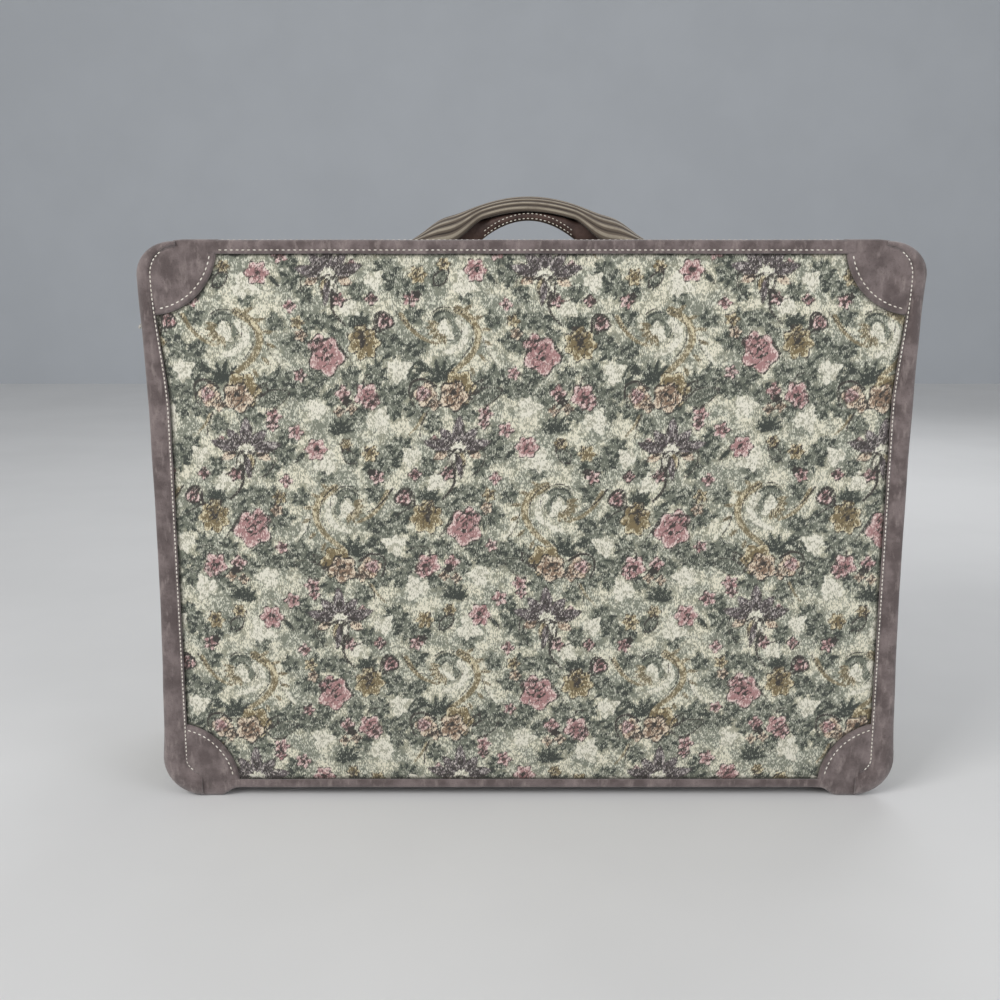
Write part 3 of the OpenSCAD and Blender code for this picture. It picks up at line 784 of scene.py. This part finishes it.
def rim_table():
    """Points round the rim from the middle of its bottom: distance, x, z and outward normal."""
    flat_x, flat_z = HALF_W - RIM_R, RIM_H / 2 - RIM_R
    rows = [(0.0, FOOT_H, 0.0, -1.0)]
    for centre_x, centre_z, start in ((flat_x, -flat_z, -90), (flat_x, flat_z, 0),
                                      (-flat_x, flat_z, 90), (-flat_x, -flat_z, 180)):
        for share in shares(24):
            angle = math.radians(start + 90 * share)
            out_x, out_z = math.cos(angle), math.sin(angle)
            rows.append((centre_x + RIM_R * out_x, RIM_MID + centre_z + RIM_R * out_z, out_x, out_z))
    rows.append((0.0, FOOT_H, 0.0, -1.0))
    rows = np.array(rows)
    gaps = np.hypot(np.diff(rows[:, 0]), np.diff(rows[:, 1]))
    return np.concatenate([[0], np.cumsum(gaps)]), rows


RIM_DISTANCE, RIM_ROWS = rim_table()
RIM_LENGTH = RIM_DISTANCE[-1]


def rim_at(distance):
    """Place on the rim and the outward direction there."""
    return [np.interp(distance, RIM_DISTANCE, RIM_ROWS[:, i]) for i in range(4)]


def on_rim(distance, inset, y):
    x, z, out_x, out_z = rim_at(distance)
    return Vector((x - out_x * inset, y, z - out_z * inset))


# Tapestry cloths

def bind_lip(z):
    """Width of the end binding on the face, which narrows towards the top corner."""
    share = np.clip((z - 320) / (RIM_TOP - RIM_R - 320), 0, 1)
    return BIND_LIP - (BIND_LIP - TOP_LIP) * share * share * (3 - 2 * share)


def trim_gap(x, low, high):
    """Distance of a point of a face from the nearest edge of the trim."""
    side = HALF_W - bind_lip(FOOT_H + low) - np.abs(x)
    band = np.minimum(low - BAND_LOW_W, high - BAND_TOP_W)
    patch = np.hypot(HALF_W - np.abs(x), np.minimum(low, high)) - PATCH_R
    return np.minimum(np.minimum(side, band), patch)


def tapestry_face(face, body, columns, rows):
    """A padded face of the case in printed tapestry, with its edges under the trim."""
    bm = bmesh.new()
    bmesh.ops.create_grid(bm, x_segments=columns, y_segments=rows, size=1.0)
    border = [edge for edge in bm.edges if edge.is_boundary]
    grown = bmesh.ops.extrude_edge_only(bm, edges=border)["geom"]
    behind = [g for g in grown if isinstance(g, bmesh.types.BMVert)]
    bmesh.ops.translate(bm, vec=(0, 0, -1), verts=behind)
    bmesh.ops.holes_fill(bm, edges=[e for e in bm.edges if e.is_boundary], sides=0)
    name = face + "_tapestry_cloth"
    mesh = as_mesh(bm, name)
    flat = np.empty(len(mesh.vertices) * 3)
    mesh.vertices.foreach_get("co", flat)
    flat = flat.reshape(-1, 3)
    inset = 2.0
    low = inset + (flat[:, 1] + 1) / 2 * (RIM_H - 2 * inset)
    high = RIM_H - low
    near = np.clip(RIM_R - np.minimum(low, high), 0, RIM_R - inset)
    half = HALF_W - RIM_R + np.sqrt((RIM_R - inset) ** 2 - near ** 2)
    half = np.where(near > 0, half, HALF_W - inset)
    across = flat[:, 0] * half
    gap = trim_gap(across, low, high)
    rise = CROWN * (1 - (1 - np.clip((gap - 1.0) / CROWN_REACH, 0, 1)) ** 2)
    ripple = 0.35 * np.sin(across / 43 + 1.3 * np.sin(low / 61)) * np.sin(low / 37 + 0.4)
    depth = TRIM_RISE - rise - ripple * np.clip(rise, 0, 1)
    depth = np.where(flat[:, 2] < -0.5, TRIM_RISE + CLOTH_T, depth)
    x = across if face == "front" else -across
    points = np.stack([x, depth_y(face, depth), FOOT_H + low], axis=1) * MM
    mesh.vertices.foreach_set("co", points.ravel())
    mesh.update()
    print_on(mesh, across if face == "front" else across + BACK_START, FOOT_H + low)
    # Painted shadow along the trim: 1 at the trim's edge, falling to 0 three millimetres from it; the
    # material darkens the cloth by it.
    add_values(mesh, "shadow", np.clip(1 - gap / 3.0, 0, 1))
    piece = place_piece(mesh, name, face + "_tapestry", body, TAPESTRY)


def gusset_cloth(name, node, body, start_y, end_y, along_steps, deep_steps):
    """The tapestry strip round the rim: its outside, both turned edges and its inside."""
    bm = bmesh.new()
    rows = deep_steps + 3
    bmesh.ops.create_grid(bm, x_segments=along_steps, y_segments=rows, size=1.0)
    along_layer = bm.verts.layers.float.new("along")
    deep_layer = bm.verts.layers.float.new("deep")
    for vert in bm.verts:
        distance = (vert.co.x + 1) / 2 * RIM_LENGTH
        row = round((vert.co.y + 1) / 2 * rows)
        share = row / deep_steps
        inset = 0.35 * abs(math.sin(math.pi * GUSSET_PUFFS * distance / RIM_LENGTH))
        inset *= math.sin(math.pi * min(share, 1))
        if row > deep_steps:
            share = 1.0 if row == deep_steps + 1 else 0.0
            inset = CLOTH_T if row < rows else 0.0
        y = mix(start_y, end_y, share)
        vert[along_layer] = distance
        vert[deep_layer] = y
        vert.co = on_rim(distance, inset, y)
    bmesh.ops.remove_doubles(bm, verts=bm.verts[:], dist=0.01)
    bmesh.ops.recalc_face_normals(bm, faces=bm.faces[:])
    bmesh.ops.scale(bm, vec=(MM, MM, MM), verts=bm.verts[:])
    mesh = as_mesh(bm, name)
    along = np.empty(len(mesh.vertices), dtype=np.float32)
    deep = np.empty(len(mesh.vertices), dtype=np.float32)
    mesh.attributes["along"].data.foreach_get("value", along)
    mesh.attributes["deep"].data.foreach_get("value", deep)
    print_on(mesh, along.astype(float), deep.astype(float) + GUSSET_START)
    piece = place_piece(mesh, name, node, body, TAPESTRY)


tapestry_face("front", "lid", 352, 263)
tapestry_face("back", "case", 330, 247)
gusset_cloth("lid_gusset_cloth", "lid_skin", "lid", -88.7, -75.0, 500, 4)
gusset_cloth("body_gusset_cloth", "body_skin", "case", -63.0, 88.7, 760, 56)


# Suede trim

def bind_station(share):
    """Place, outward direction, swelling and lip of the end binding, from its foot to its top."""
    arc = math.pi / 2 * RIM_R
    straight = RIM_H - 2 * RIM_R
    distance = share * (2 * arc + straight)
    centre_x = HALF_W - RIM_R
    if distance < arc:
        angle = -math.pi / 2 + distance / RIM_R
        centre_z = FOOT_H + RIM_R
        swell = mix(2.1, 1.85, distance / arc)
    elif distance < arc + straight:
        along = (distance - arc) / straight
        angle = 0.0
        centre_z = FOOT_H + RIM_R + along * straight
        swell = mix(0.75, 1.85, abs(2 * along - 1) ** 2.5)
    else:
        angle = (distance - arc - straight) / RIM_R
        centre_z = RIM_TOP - RIM_R
        swell = mix(1.85, 0.4, smooth((distance - arc - straight) / arc))
    out_x, out_z = math.cos(angle), math.sin(angle)
    lip = float(bind_lip(centre_z + RIM_R * out_z)) - smooth(angle / (math.pi / 2))
    return centre_x + RIM_R * out_x, centre_z + RIM_R * out_z, out_x, out_z, swell, lip


def bind_section(swell, width, tuck):
    """The binding's outside: a welt at its inner edge, a sewn groove, then a full round roll."""
    lip = -width + tuck
    fine = width / BIND_LIP
    out = BIND_ROLL * swell
    marks = [
        (lip + 0.3 * fine, TRIM_SEAT), (lip, 3.3), (lip + 0.2 * fine, 2.1), (lip + 1.1 * fine, 1.5),
        (lip + 2.1 * fine, 1.9), (lip + 2.8 * fine, 2.35), (lip + 3.7 * fine, 1.9), (0.5 * lip, 0.9),
        (0.12 * lip, 0.1), (0.45 * out, 0.5), (0.85 * out, 2.7), (out, 0.4 * TRIM_LEG),
        (0.95 * out, 0.65 * TRIM_LEG), (0.65 * out, 0.9 * TRIM_LEG), (0.3 * out, TRIM_LEG),
    ]
    return [curve_at(marks, share) for share in shares(44)]


def end_binding(face, side, body):
    """The suede binding over one end edge of the case."""
    sign = side_sign(side)
    rings = []
    for share in shares(150):
        x, z, out_x, out_z, swell, lip = bind_station(share)
        soft = noise.noise(Vector((sign * 9.1, BACK_Y if face == "back" else 0.0, z / 38)))
        fine = noise.noise(Vector((sign * 3.7, 5.0, z / 11)))
        section = bind_section(swell * (1 + 0.1 * soft), lip, 0.35 * fine)
        section += [(0.2, TRIM_LEG), (0.2, TRIM_SEAT)]
        rings.append([
            Vector((sign * (x + out_x * out), depth_y(face, depth), z + out_z * out))
            for out, depth in section])
    name = f"binding_{face}_{side}"
    finish_piece(sweep(rings), "suede_" + name, name, body, SUEDE, 65)


def edge_band(face, edge, body, width, dip):
    """The suede band along the top or bottom edge, folded over onto the gusset."""
    half = HALF_W - PATCH_R + 7
    marks = [
        (width - 0.2, TRIM_SEAT), (width, 3.3), (width - 0.5, 2.2), (width - 1.8, 1.8), (0.62 * width, 1.95),
        (0.3 * width, 1.6), (0.0, 1.7), (-1.6, 2.4), (-2.5, 4.2), (-2.6, 7.0), (-2.6, 13.0),
        (-2.5, 15.2), (-1.8, TRIM_LEG),
    ]
    section = [curve_at(marks, share) for share in shares(30)]
    section += [(-0.2, TRIM_LEG), (-0.2, TRIM_SEAT)]
    rings = []
    for share in shares(120):
        x = mix(-half, half, share)
        sway = noise.noise(Vector((x / 60, 3.0 if edge == "top" else 8.0, 1.0)))
        ring = []
        for inward, depth in section:
            inward += dip * sway * (0.5 if inward > 0 else 0.25)
            ring.append(Vector((x, depth_y(face, depth), trim_z(edge, inward))))
        rings.append(ring)
    name = f"band_{face}_{edge}"
    finish_piece(sweep(rings), "suede_" + name, name, body, SUEDE, 65)


def patch_depth(inside, inward, edge, sign):
    """Depth of a corner patch's outside: padded, with a sewn line and a rolled edge."""
    reach = math.hypot(inside, inward)
    pad = smooth((PATCH_R - 6 - reach) / 22) * smooth((inward + 4) / 16)
    dent = noise.noise(Vector((inside / 17, inward / 17, PATCH_SEED[edge] + sign)))
    groove = 0.55 * math.exp(-((reach - PATCH_R + PATCH_SEAM) / 1.1) ** 2)
    roll = 1.7 * smooth((reach - PATCH_R + 2.0) / 2.0) ** 2
    hollow = 0.0
    if edge == "top":
        hollow = 2.2 * math.exp(-((inside - 22) ** 2 + (inward - 25) ** 2) / 12 ** 2)
    return 2.2 - 1.0 * pad - 0.6 * dent * smooth((PATCH_R - reach) / 8) + groove + roll + hollow


def corner_patch(face, edge, side, body):
    """A suede patch sewn over one corner, turned over the edge; the lower ones carry the feet."""
    sign = side_sign(side)
    lip = TOP_LIP if edge == "top" else BIND_LIP
    beside_lip = RIM_R - lip + 1.5
    rings = []
    for share in shares(54):
        inside = mix(lip - 1.8, PATCH_R - 0.15, 1 - (1 - share) ** 1.6)
        top = math.sqrt(PATCH_R ** 2 - inside ** 2)
        if inside < RIM_R - PATCH_LAP:
            # Beside the binding's lip, a patch ends on the face.
            low = RIM_R - math.sqrt(max(beside_lip ** 2 - (RIM_R - inside) ** 2, 0))
            outline = [(low - 0.4 * (10 - i) / 10, 4.0 - 1.6 * i / 10) for i in range(11)]
            start = low
            under = [(low, TRIM_SEAT), (low - 0.2, TRIM_SEAT)]
        else:
            drop = mix(2.9, FOOT_H, smooth((PATCH_R - 2 - inside) / 15))
            if edge == "top":
                drop = mix(2.3, 3.0, smooth((inside - RIM_R + PATCH_LAP) / 8))
            turned = [(-0.75 * drop, PATCH_LEG), (-0.97 * drop, 13.0), (-drop, 8.5), (-0.97 * drop, 5.2),
                      (-0.8 * drop, 3.2), (-0.45 * drop, 2.3)]
            outline = [curve_at(turned, step_on) for step_on in shares(10)]
            start = -0.3 * drop
            under = [(-0.2, TRIM_SEAT), (-0.2, PATCH_LEG)]
        for i in range(29):
            inward = mix(start, top, (i + 1) / 29)
            outline.append((inward, patch_depth(inside, inward, edge, sign)))
        outline += [(top, TRIM_SEAT)] + under
        rings.append([Vector((sign * (HALF_W - inside), depth_y(face, depth), trim_z(edge, inward)))
                      for inward, depth in outline])
    name = f"corner_{face}_{edge}_{side}"
    finish_piece(sweep(rings), "suede_" + name, name, body, SUEDE, 65)


# Sewing

class Seam:
    """Gathers the stitches that ride on one body into one piece."""

    def __init__(self, name, body):
        self.name = name
        self.body = body
        self.bm = bmesh.new()
        shape = bmesh.new()
        bmesh.ops.create_uvsphere(shape, u_segments=6, v_segments=5, radius=1.0)
        self.shape = as_mesh(shape, "stitch_shape")

    def stitch(self, place_on, along, out, length=STITCH, width=0.95, height=0.7):
        along = Vector(along).normalized()
        out = Vector(out).normalized()
        beside = out.cross(along).normalized()
        along = (along + beside * random.uniform(-0.08, 0.08)).normalized()
        beside = out.cross(along)
        scale = Matrix.Diagonal((length / 2, width / 2, height / 2, 1))
        turn = Matrix((along, beside, out)).transposed().to_4x4()
        start = len(self.bm.verts)
        self.bm.from_mesh(self.shape)
        self.bm.verts.ensure_lookup_table()
        moved = Matrix.Translation(place_on) @ turn @ scale
        bmesh.ops.transform(self.bm, matrix=moved, verts=self.bm.verts[start:])

    def row(self, points, out, pitch=STITCH_PITCH, **size):
        """Stitches at an even pitch along a line of points; out is the way that the cloth faces."""
        carried = pitch / 2
        for first, second in zip(points, points[1:]):
            run = (second - first).length
            while carried < run:
                self.stitch(first.lerp(second, carried / run), second - first, out, **size)
                carried += pitch
            carried -= run

    def finish(self):
        bpy.data.meshes.remove(self.shape)
        finish_piece(self.bm, self.name, None, self.body, THREAD, 180)


def sew_face(seam, face):
    """The sewing that shows on one face: both bindings, the corner patches and the top band."""
    out = Vector((0, -1 if face == "front" else 1, 0))
    for sign in (-1, 1):
        points = []
        for share in shares(140):
            x, z, out_x, out_z, _, lip = bind_station(0.03 + 0.94 * share)
            lip *= 1 - 1.1 / BIND_LIP
            points.append(Vector((sign * (x - lip * out_x), depth_y(face, 1.45), z - lip * out_z)))
        seam.row(points, out, pitch=3.4, length=2.6, width=1.1)
        for edge, end in (("top", 82), ("bottom", 73)):
            points = []
            for share in shares(40):
                angle = math.radians(mix(10, end, share))
                inside = (PATCH_R - PATCH_SEAM) * math.cos(angle)
                inward = (PATCH_R - PATCH_SEAM) * math.sin(angle)
                depth = patch_depth(inside, inward, edge, sign) - 0.1
                points.append(Vector((sign * (HALF_W - inside), depth_y(face, depth), trim_z(edge, inward))))
            seam.row(points, out, width=1.15, length=3.0)
    half = HALF_W - PATCH_R - 1
    for depth, z, facing in ((1.7, RIM_TOP - BAND_TOP_W + 2.8, out),
                             (12.6, RIM_TOP + 2.6, Vector((0, 0, 1)))):
        seam.row([Vector((x, depth_y(face, depth), z)) for x in (-half, half)], facing)


for face_name, face_body in (("front", "lid"), ("back", "case")):
    for side_name in ("left", "right"):
        end_binding(face_name, side_name, face_body)
        for edge_name in ("top", "bottom"):
            corner_patch(face_name, edge_name, side_name, face_body)
    edge_band(face_name, "top", face_body, BAND_TOP_W, 1.0)
    edge_band(face_name, "bottom", face_body, BAND_LOW_W, 0.8)

lid_seam = Seam("lid_sewing", "lid")
sew_face(lid_seam, "front")
lid_seam.finish()
case_seam = Seam("case_sewing", "case")
sew_face(case_seam, "back")


# Carrying handle

def strap_arch(x):
    """Height of the handle's arch."""
    return HANDLE_RISE * math.cos(math.pi / 2 * min(abs(x) / HANDLE_HALF, 1))


def strap_top(x):
    """Height of the strap's crown, which swells where it opens into the fans."""
    fold = math.sin(math.pi * smooth((abs(x) - WAIST_HALF) / (HANDLE_HALF - WAIST_HALF))) ** 2
    return max(strap_arch(x) + 3 * fold, 2.2)


def strap_edge(x):
    """Height of the strap's edges, which come down to the case beyond the grip."""
    arch = strap_arch(x) - 12.5
    return max(arch * (1 - smooth((abs(x) - GRIP_HALF) / (FOLD_HALF - GRIP_HALF))), 0.0)


def strap_half(x):
    """Half the strap's width, narrow over the grip and wide in the fans."""
    spread = smooth((abs(x) - GRIP_HALF) / (FAN_HALF - GRIP_HALF))
    return mix(11.5, 26.0, spread) * (1 - 0.25 * smooth((abs(x) - FAN_HALF) / (HANDLE_HALF - FAN_HALF)))


def strap_point(x, share, inset=0.0):
    """A point across the strap, from its front edge over the crown to its back edge."""
    half = strap_half(x) - inset
    low = strap_edge(x)
    high = max(strap_top(x) - inset, low + 0.6)
    angle = math.pi * share
    return -half * math.cos(angle), low + (high - low) * math.sin(angle) ** 0.8


def handle_strap():
    """The corded strap, gathered over the grip and spread flat at both ends."""
    rings = []
    cords = {}

    def key(point):
        return tuple(round(part, 4) for part in point)

    for place_on in shares(132):
        x = mix(-HANDLE_HALF, HANDLE_HALF, place_on)
        hollow = smooth((abs(x) - GRIP_HALF + 4) / 10) * smooth((FOLD_HALF + 8 - abs(x)) / 14)
        sway = 0.3 * math.sin(x / 7.0)
        ring = []
        for share in shares(88):
            rib = abs(math.sin(CORDS * math.pi * share + 0.25 * math.sin(x / 16))) ** 0.7
            y, z = strap_point(x, share)
            inner_y, inner_z = strap_point(x, share, 1.5)
            lift = 1.0 * rib - 0.75
            out_y, out_z = y - inner_y, z - inner_z
            norm = math.hypot(out_y, out_z) or 1.0
            y += lift * out_y / norm + sway * math.sin(math.pi * share)
            z += lift * out_z / norm
            ring.append(Vector((x, HANDLE_Y + y, HANDLE_Z + max(z, 0.2))))
            cords[key(ring[-1])] = rib
        # Painted shade: the hollow underside gets a low cord value, so it takes the dark groove tone, as
        # shade under the strap.
        for share in shares(20):
            y, z = strap_point(x, 1 - share, 3.0)
            low = strap_edge(x) + 0.15
            ring.append(Vector((x, HANDLE_Y + y, HANDLE_Z + max(mix(low, z, hollow), 0.1))))
            cords[key(ring[-1])] = 0.2
        rings.append(ring)
    bm = sweep(rings)
    cord_and_shade_layer = bm.verts.layers.float.new("cord_and_shade")
    for vert in bm.verts:
        vert[cord_and_shade_layer] = cords.get(key(vert.co), 0.3)
    finish_piece(bm, "corded_handle_strap", "handle_strap", "case", RIBBED_STRAP, 70)


def core_half(x):
    return 9.2 * (1 - 0.3 * smooth((abs(x) / LINER_HALF - 0.8) / 0.2))


def core_low(x):
    """Underside of the leather core: the arch of the hand gap."""
    return ARCH_RISE * max(1 - (x / ARCH_HALF) ** 2, 0.0)


def core_high(x):
    """Top of the leather core: the strap's underside, and its hollow beyond the grip."""
    hollow = max(strap_top(x) - strap_edge(x) - 4.8, 0) * smooth((abs(x) - GRIP_HALF) / 10)
    hollow = 0.4 + hollow * smooth((FOLD_HALF - abs(x)) / 8)
    arc = math.sqrt(max(1 - (core_half(x) / (strap_half(x) - 3)) ** 2, 0))
    return strap_edge(x) - 0.2 + max(hollow * arc - 1.2, 0)


def handle_core():
    """The leather core: a liner over the hand gap and a heel down to the rim at each end."""
    rings = []
    for share in shares(104):
        x = mix(-HEEL_HALF, HEEL_HALF, share)
        low = core_low(x)
        tall = max(core_high(x) - low, 0.8)
        half = core_half(x)
        ring = []
        for i in range(32):
            angle = 2 * math.pi * i / 32
            y = half * math.copysign(abs(math.cos(angle)) ** 0.6, math.cos(angle))
            z = tall / 2 * math.copysign(abs(math.sin(angle)) ** 0.7, math.sin(angle))
            ring.append(Vector((x, HANDLE_Y + y, HANDLE_Z + low + tall / 2 + z)))
        rings.append(ring)
    finish_piece(sweep(rings), "leather_handle_core", "handle_grip", "case", GRIP_LEATHER, 70)


def sew_handle(seam):
    """Two rows of stitches along both sides of the liner."""
    for side in (-1, 1):
        for height in (0.22, 0.8):
            points = []
            for share in shares(70):
                x = mix(-38, 38, share)
                low = core_low(x)
                tall = min(core_high(x) - low, 7.0)
                points.append(Vector((x, HANDLE_Y + side * (0.97 * core_half(x) + 0.1),
                                      HANDLE_Z + low + tall * height)))
            seam.row(points, Vector((0, side, 0)), pitch=3.6, length=2.3, width=0.9)


handle_strap()
handle_core()
sew_handle(case_seam)
case_seam.finish()


# Zip, hinge strip and inside

def woven_piece(rings, name, node, body, material):
    """A woven piece, whose threads follow its own place, sheared so that no wall is without them."""
    piece = finish_piece(sweep(rings), name, node, body, material)
    points = np.empty(3 * len(piece.data.vertices), dtype=np.float32)
    piece.data.vertices.foreach_get("co", points)
    x, y, z = points.reshape(-1, 3).T / MM
    map_threads(piece.data, x + y, z + 0.7 * y)
    return piece


def zip_tape(name, node, body, start_y, end_y):
    """The woven tape that carries a row of teeth, open along the hinge; too narrow to be a sheet."""
    middle = (start_y + end_y) / 2
    section = ((1.8, start_y), (1.6, middle), (1.8, end_y), (2.5, end_y), (2.5, middle), (2.5, start_y))
    rings = []
    for share in shares(420):
        distance = mix(HINGE_HALF, RIM_LENGTH - HINGE_HALF, share)
        rings.append([on_rim(distance, inset, y) for inset, y in section])
    woven_piece(rings, name, node, body, WEBBING)


def zip_teeth(name, node, body, middle_y, shift):
    """A row of bevelled teeth, which mesh with the other row."""
    bm = bmesh.new()
    start = HINGE_HALF + 4.6
    wide, deep, thick, inset = 1.3, 2.5, 2.0, 1.6
    for number in range(int((RIM_LENGTH - 2 * start) / ZIP_PITCH) - 1):
        x, z, out_x, out_z = rim_at(start + (number + 0.5 + shift) * ZIP_PITCH)
        matrix = Matrix(((-out_z * wide, 0, out_x * thick, x - inset * out_x), (0, deep, 0, middle_y),
                         (out_x * wide, 0, out_z * thick, z - inset * out_z), (0, 0, 0, 1)))
        bmesh.ops.create_cube(bm, size=1.0, matrix=matrix)
    bmesh.ops.bevel(bm, geom=bm.edges[:], offset=0.3, segments=1, profile=0.5, material=-1,
                    affect="EDGES")
    bmesh.ops.recalc_face_normals(bm, faces=bm.faces[:])
    finish_piece(bm, name, node, body, ZIP_METAL)


def hinge_strip():
    """The suede strip sewn under the bottom edge, on which the lid is hinged."""
    low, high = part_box("hinge_strip")
    rings = []
    for place_on in shares(100):
        x = mix(-HINGE_HALF, HINGE_HALF, place_on)
        sag = 0.25 * math.sin(x / 23) * math.sin(x / 61)
        top = [Vector((x, mix(low.y, high.y, share) / MM, 9.7)) for share in shares(24)]
        under = [Vector((x, mix(high.y, low.y, share) / MM, 8.4 + sag * math.sin(math.pi * share)))
                 for share in shares(24)]
        rings.append(top + under)
    piece = finish_piece(sweep(rings), "hinge_leather", None, None, SUEDE)
    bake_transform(piece)
    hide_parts("hinge_strip")


def lining(name, node, body, face, mouth, steps):
    """The cloth glued inside a half: back wall, side walls and a corded edge at the mouth."""
    count = 240

    def ring(inset, depth, scale=1.0, wave=0.0):
        points = []
        for i in range(count):
            point = on_rim(RIM_LENGTH * i / count, inset, 0)
            point.x *= scale
            point.z = RIM_MID + (point.z - RIM_MID) * scale
            ripple = wave * noise.noise(Vector((point.x / 45, depth / 30, point.z / 45)))
            if scale < 1:
                points.append(Vector((point.x, depth_y(face, depth + ripple), point.z)))
            else:
                out_x, out_z = rim_at(RIM_LENGTH * i / count)[2:]
                points.append(Vector((point.x - ripple * out_x, depth_y(face, depth),
                                      point.z - ripple * out_z)))
        return points

    rings = [ring(8, 10.7, 0.04 + 0.94 * share, 0.7) for share in shares(16)]
    rings.append(ring(8.6, 10.9))
    rings += [ring(8, mix(11.8, mouth - 3, share), 1.0, 0.7) for share in shares(steps)]
    for angle in range(0, 181, 30):
        turn = math.radians(angle)
        rings.append(ring(8.2 + 1.0 * math.sin(turn), mouth - 1.6 - 1.2 * math.cos(turn)))
    rings.append(ring(7.1, mouth - 0.3))
    rings += [ring(7.1, mix(mouth - 1, 9.7, share)) for share in shares(3)]
    piece = woven_piece(rings, name, node, body, LINING)


def lid_pocket():
    """The pocket in the lid, gathered into an elastic hem along its top."""
    low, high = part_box("lid_pocket")
    bottom, top, half = low.z / MM, high.z / MM, high.x / MM
    rings = []
    for share in shares(48):
        z = mix(bottom, top, share)
        inset = RIM_R - min(z - bottom, top - z, RIM_R)
        reach = half - RIM_R + math.sqrt(max(RIM_R ** 2 - inset ** 2, 0)) - 0.2
        hem = smooth((z - top + 14) / 3)
        pull = share ** 2 * (1 - 0.6 * hem)
        front, back = [], []
        for across in shares(230):
            x = mix(-reach, reach, across)
            edge = smooth((half - abs(x)) / 30) * smooth((z - bottom) / 30)
            folds = math.sin(x / 2.6 + 1.3 * math.sin(x / 17)) * 0.7 + math.sin(x / 6.1 + 0.4) * 0.5
            lift = 0.9 + edge * (1.6 * share + pull * folds) + 0.8 * hem
            front.append(Vector((x, low.y / MM + lift, z)))
            back.append(Vector((x, low.y / MM + max(lift - 0.7, 0.1), z)))
        rings.append(front + back[::-1])
    piece = woven_piece(rings, "gathered_lid_pocket", "lid_pocket", "lid", LINING)


def packing_strap(side):
    """A webbing strap sewn flat to the back of the case and led to the buckle."""
    low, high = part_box("packing_strap_" + side)
    rings = []
    for place_on in shares(60):
        x = mix(low.x, high.x, place_on) / MM
        ring = []
        for i in range(26):
            share = i / 12 if i < 13 else (25 - i) / 12
            rise = 0.25 * math.sin(math.pi * 5 * share) ** 2
            y = low.y / MM + 0.25 - rise if i < 13 else high.y / MM - 0.1
            ring.append(Vector((x, y, mix(low.z, high.z, share) / MM)))
        rings.append(ring)
    piece = woven_piece(rings, "webbing_strap_" + side, "packing_strap_" + side, "case", WEBBING)


zip_tape("lid_zip_tape", "zip_tape_lid", "lid", -79.0, -71.4)
zip_tape("body_zip_tape", "zip_tape_body", "case", -66.6, -59.0)
zip_teeth("lid_zip_row", "zip_teeth_lid", "lid", -69.95, 0.0)
zip_teeth("body_zip_row", "zip_teeth_body", "case", -68.05, 0.5)
hinge_strip()
lining("lid_lining_cloth", "lid_lining", "lid", "front", 22.0, 4)
lining("body_lining_cloth", "body_lining", "case", "back", 160.0, 24)
lid_pocket()
packing_strap("left")
packing_strap("right")

# CAD nodes whose shape is right, and the finish that each takes.
FINISHES = {
    "front_board": BOARD, "back_board": BOARD, "lid_hoop": BOARD, "body_hoop": BOARD,
    "zip_slider_lower": NICKEL, "zip_slider_upper": NICKEL, "zip_pull_lower": NICKEL,
    "zip_pull_upper": NICKEL, "zip_stops": NICKEL, "strap_buckle": NICKEL,
    "handle_screws": NICKEL, "handle_plate": STEEL,
}
for node_name, finish in FINISHES.items():
    node_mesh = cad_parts[node_name].data
    node_mesh.materials.clear()
    node_mesh.materials.append(finish)


# Camera, stage and light

def stage_sheet(name, size, location, turn, colour):
    """A plain sheet of the stage, in a colour with faint blotches."""
    bm = bmesh.new()
    bmesh.ops.create_grid(bm, x_segments=1, y_segments=1, size=size)
    bmesh.ops.rotate(bm, matrix=Matrix.Rotation(turn, 3, "X"), verts=bm.verts[:])
    bmesh.ops.translate(bm, vec=location, verts=bm.verts[:])
    mesh = as_mesh(bm, name)
    dulled = [part - 4 for part in colour]
    mesh.materials.append(worn_material("pale_" + name, (3, 60), (colour, dulled), (0.3, 0.7), Roughness=0.8))
    sheet = bpy.data.objects.new(name, mesh)
    bpy.context.scene.collection.objects.link(sheet)


def area_light(name, location, target, size, power, colour):
    lamp = bpy.data.lights.new(name, "AREA")
    lamp.shape = "RECTANGLE"
    lamp.size, lamp.size_y = size
    lamp.energy = power
    lamp.color = colour
    light = bpy.data.objects.new(name, lamp)
    light.location = location
    aim = Vector(target) - Vector(location)
    light.rotation_euler = aim.to_track_quat("-Z", "Y").to_euler()
    bpy.context.scene.collection.objects.link(light)


stage_sheet("floor", 6.0, (0, 0, 0), 0.0, (226, 227, 228))
stage_sheet("backdrop", 6.0, (0, 3.4, 2.0), math.pi / 2, (198, 203, 209))

area_light("window_light", (-1.6, -1.7, 1.7), (0, 0, 0.2), (1.3, 1.1), 39, (1.0, 0.98, 0.96))
area_light("room_fill", (1.7, -1.6, 1.0), (0, 0, 0.2), (1.6, 1.2), 15, (0.98, 0.98, 1.0))
area_light("back_fill", (0.8, 1.8, 1.6), (0, 0, 0.25), (1.6, 1.2), 14, (1.0, 1.0, 1.0))

world = bpy.data.worlds.new("studio")
world.use_nodes = True
world.node_tree.nodes["Background"].inputs["Color"].default_value = (0.92, 0.92, 0.92, 1.0)
world.node_tree.nodes["Background"].inputs["Strength"].default_value = 0.46
bpy.context.scene.world = world

lens = bpy.data.cameras.new("photo_camera")
lens.lens = 43.2
lens.sensor_width = 36.0
camera = bpy.data.objects.new("photo_camera", lens)
camera.location = (-0.024, -1.031, 0.439)
camera.rotation_euler = (math.radians(78.8), 0, 0)
bpy.context.scene.collection.objects.link(camera)
bpy.context.scene.camera = camera
bpy.context.scene.view_settings.view_transform = "Standard"
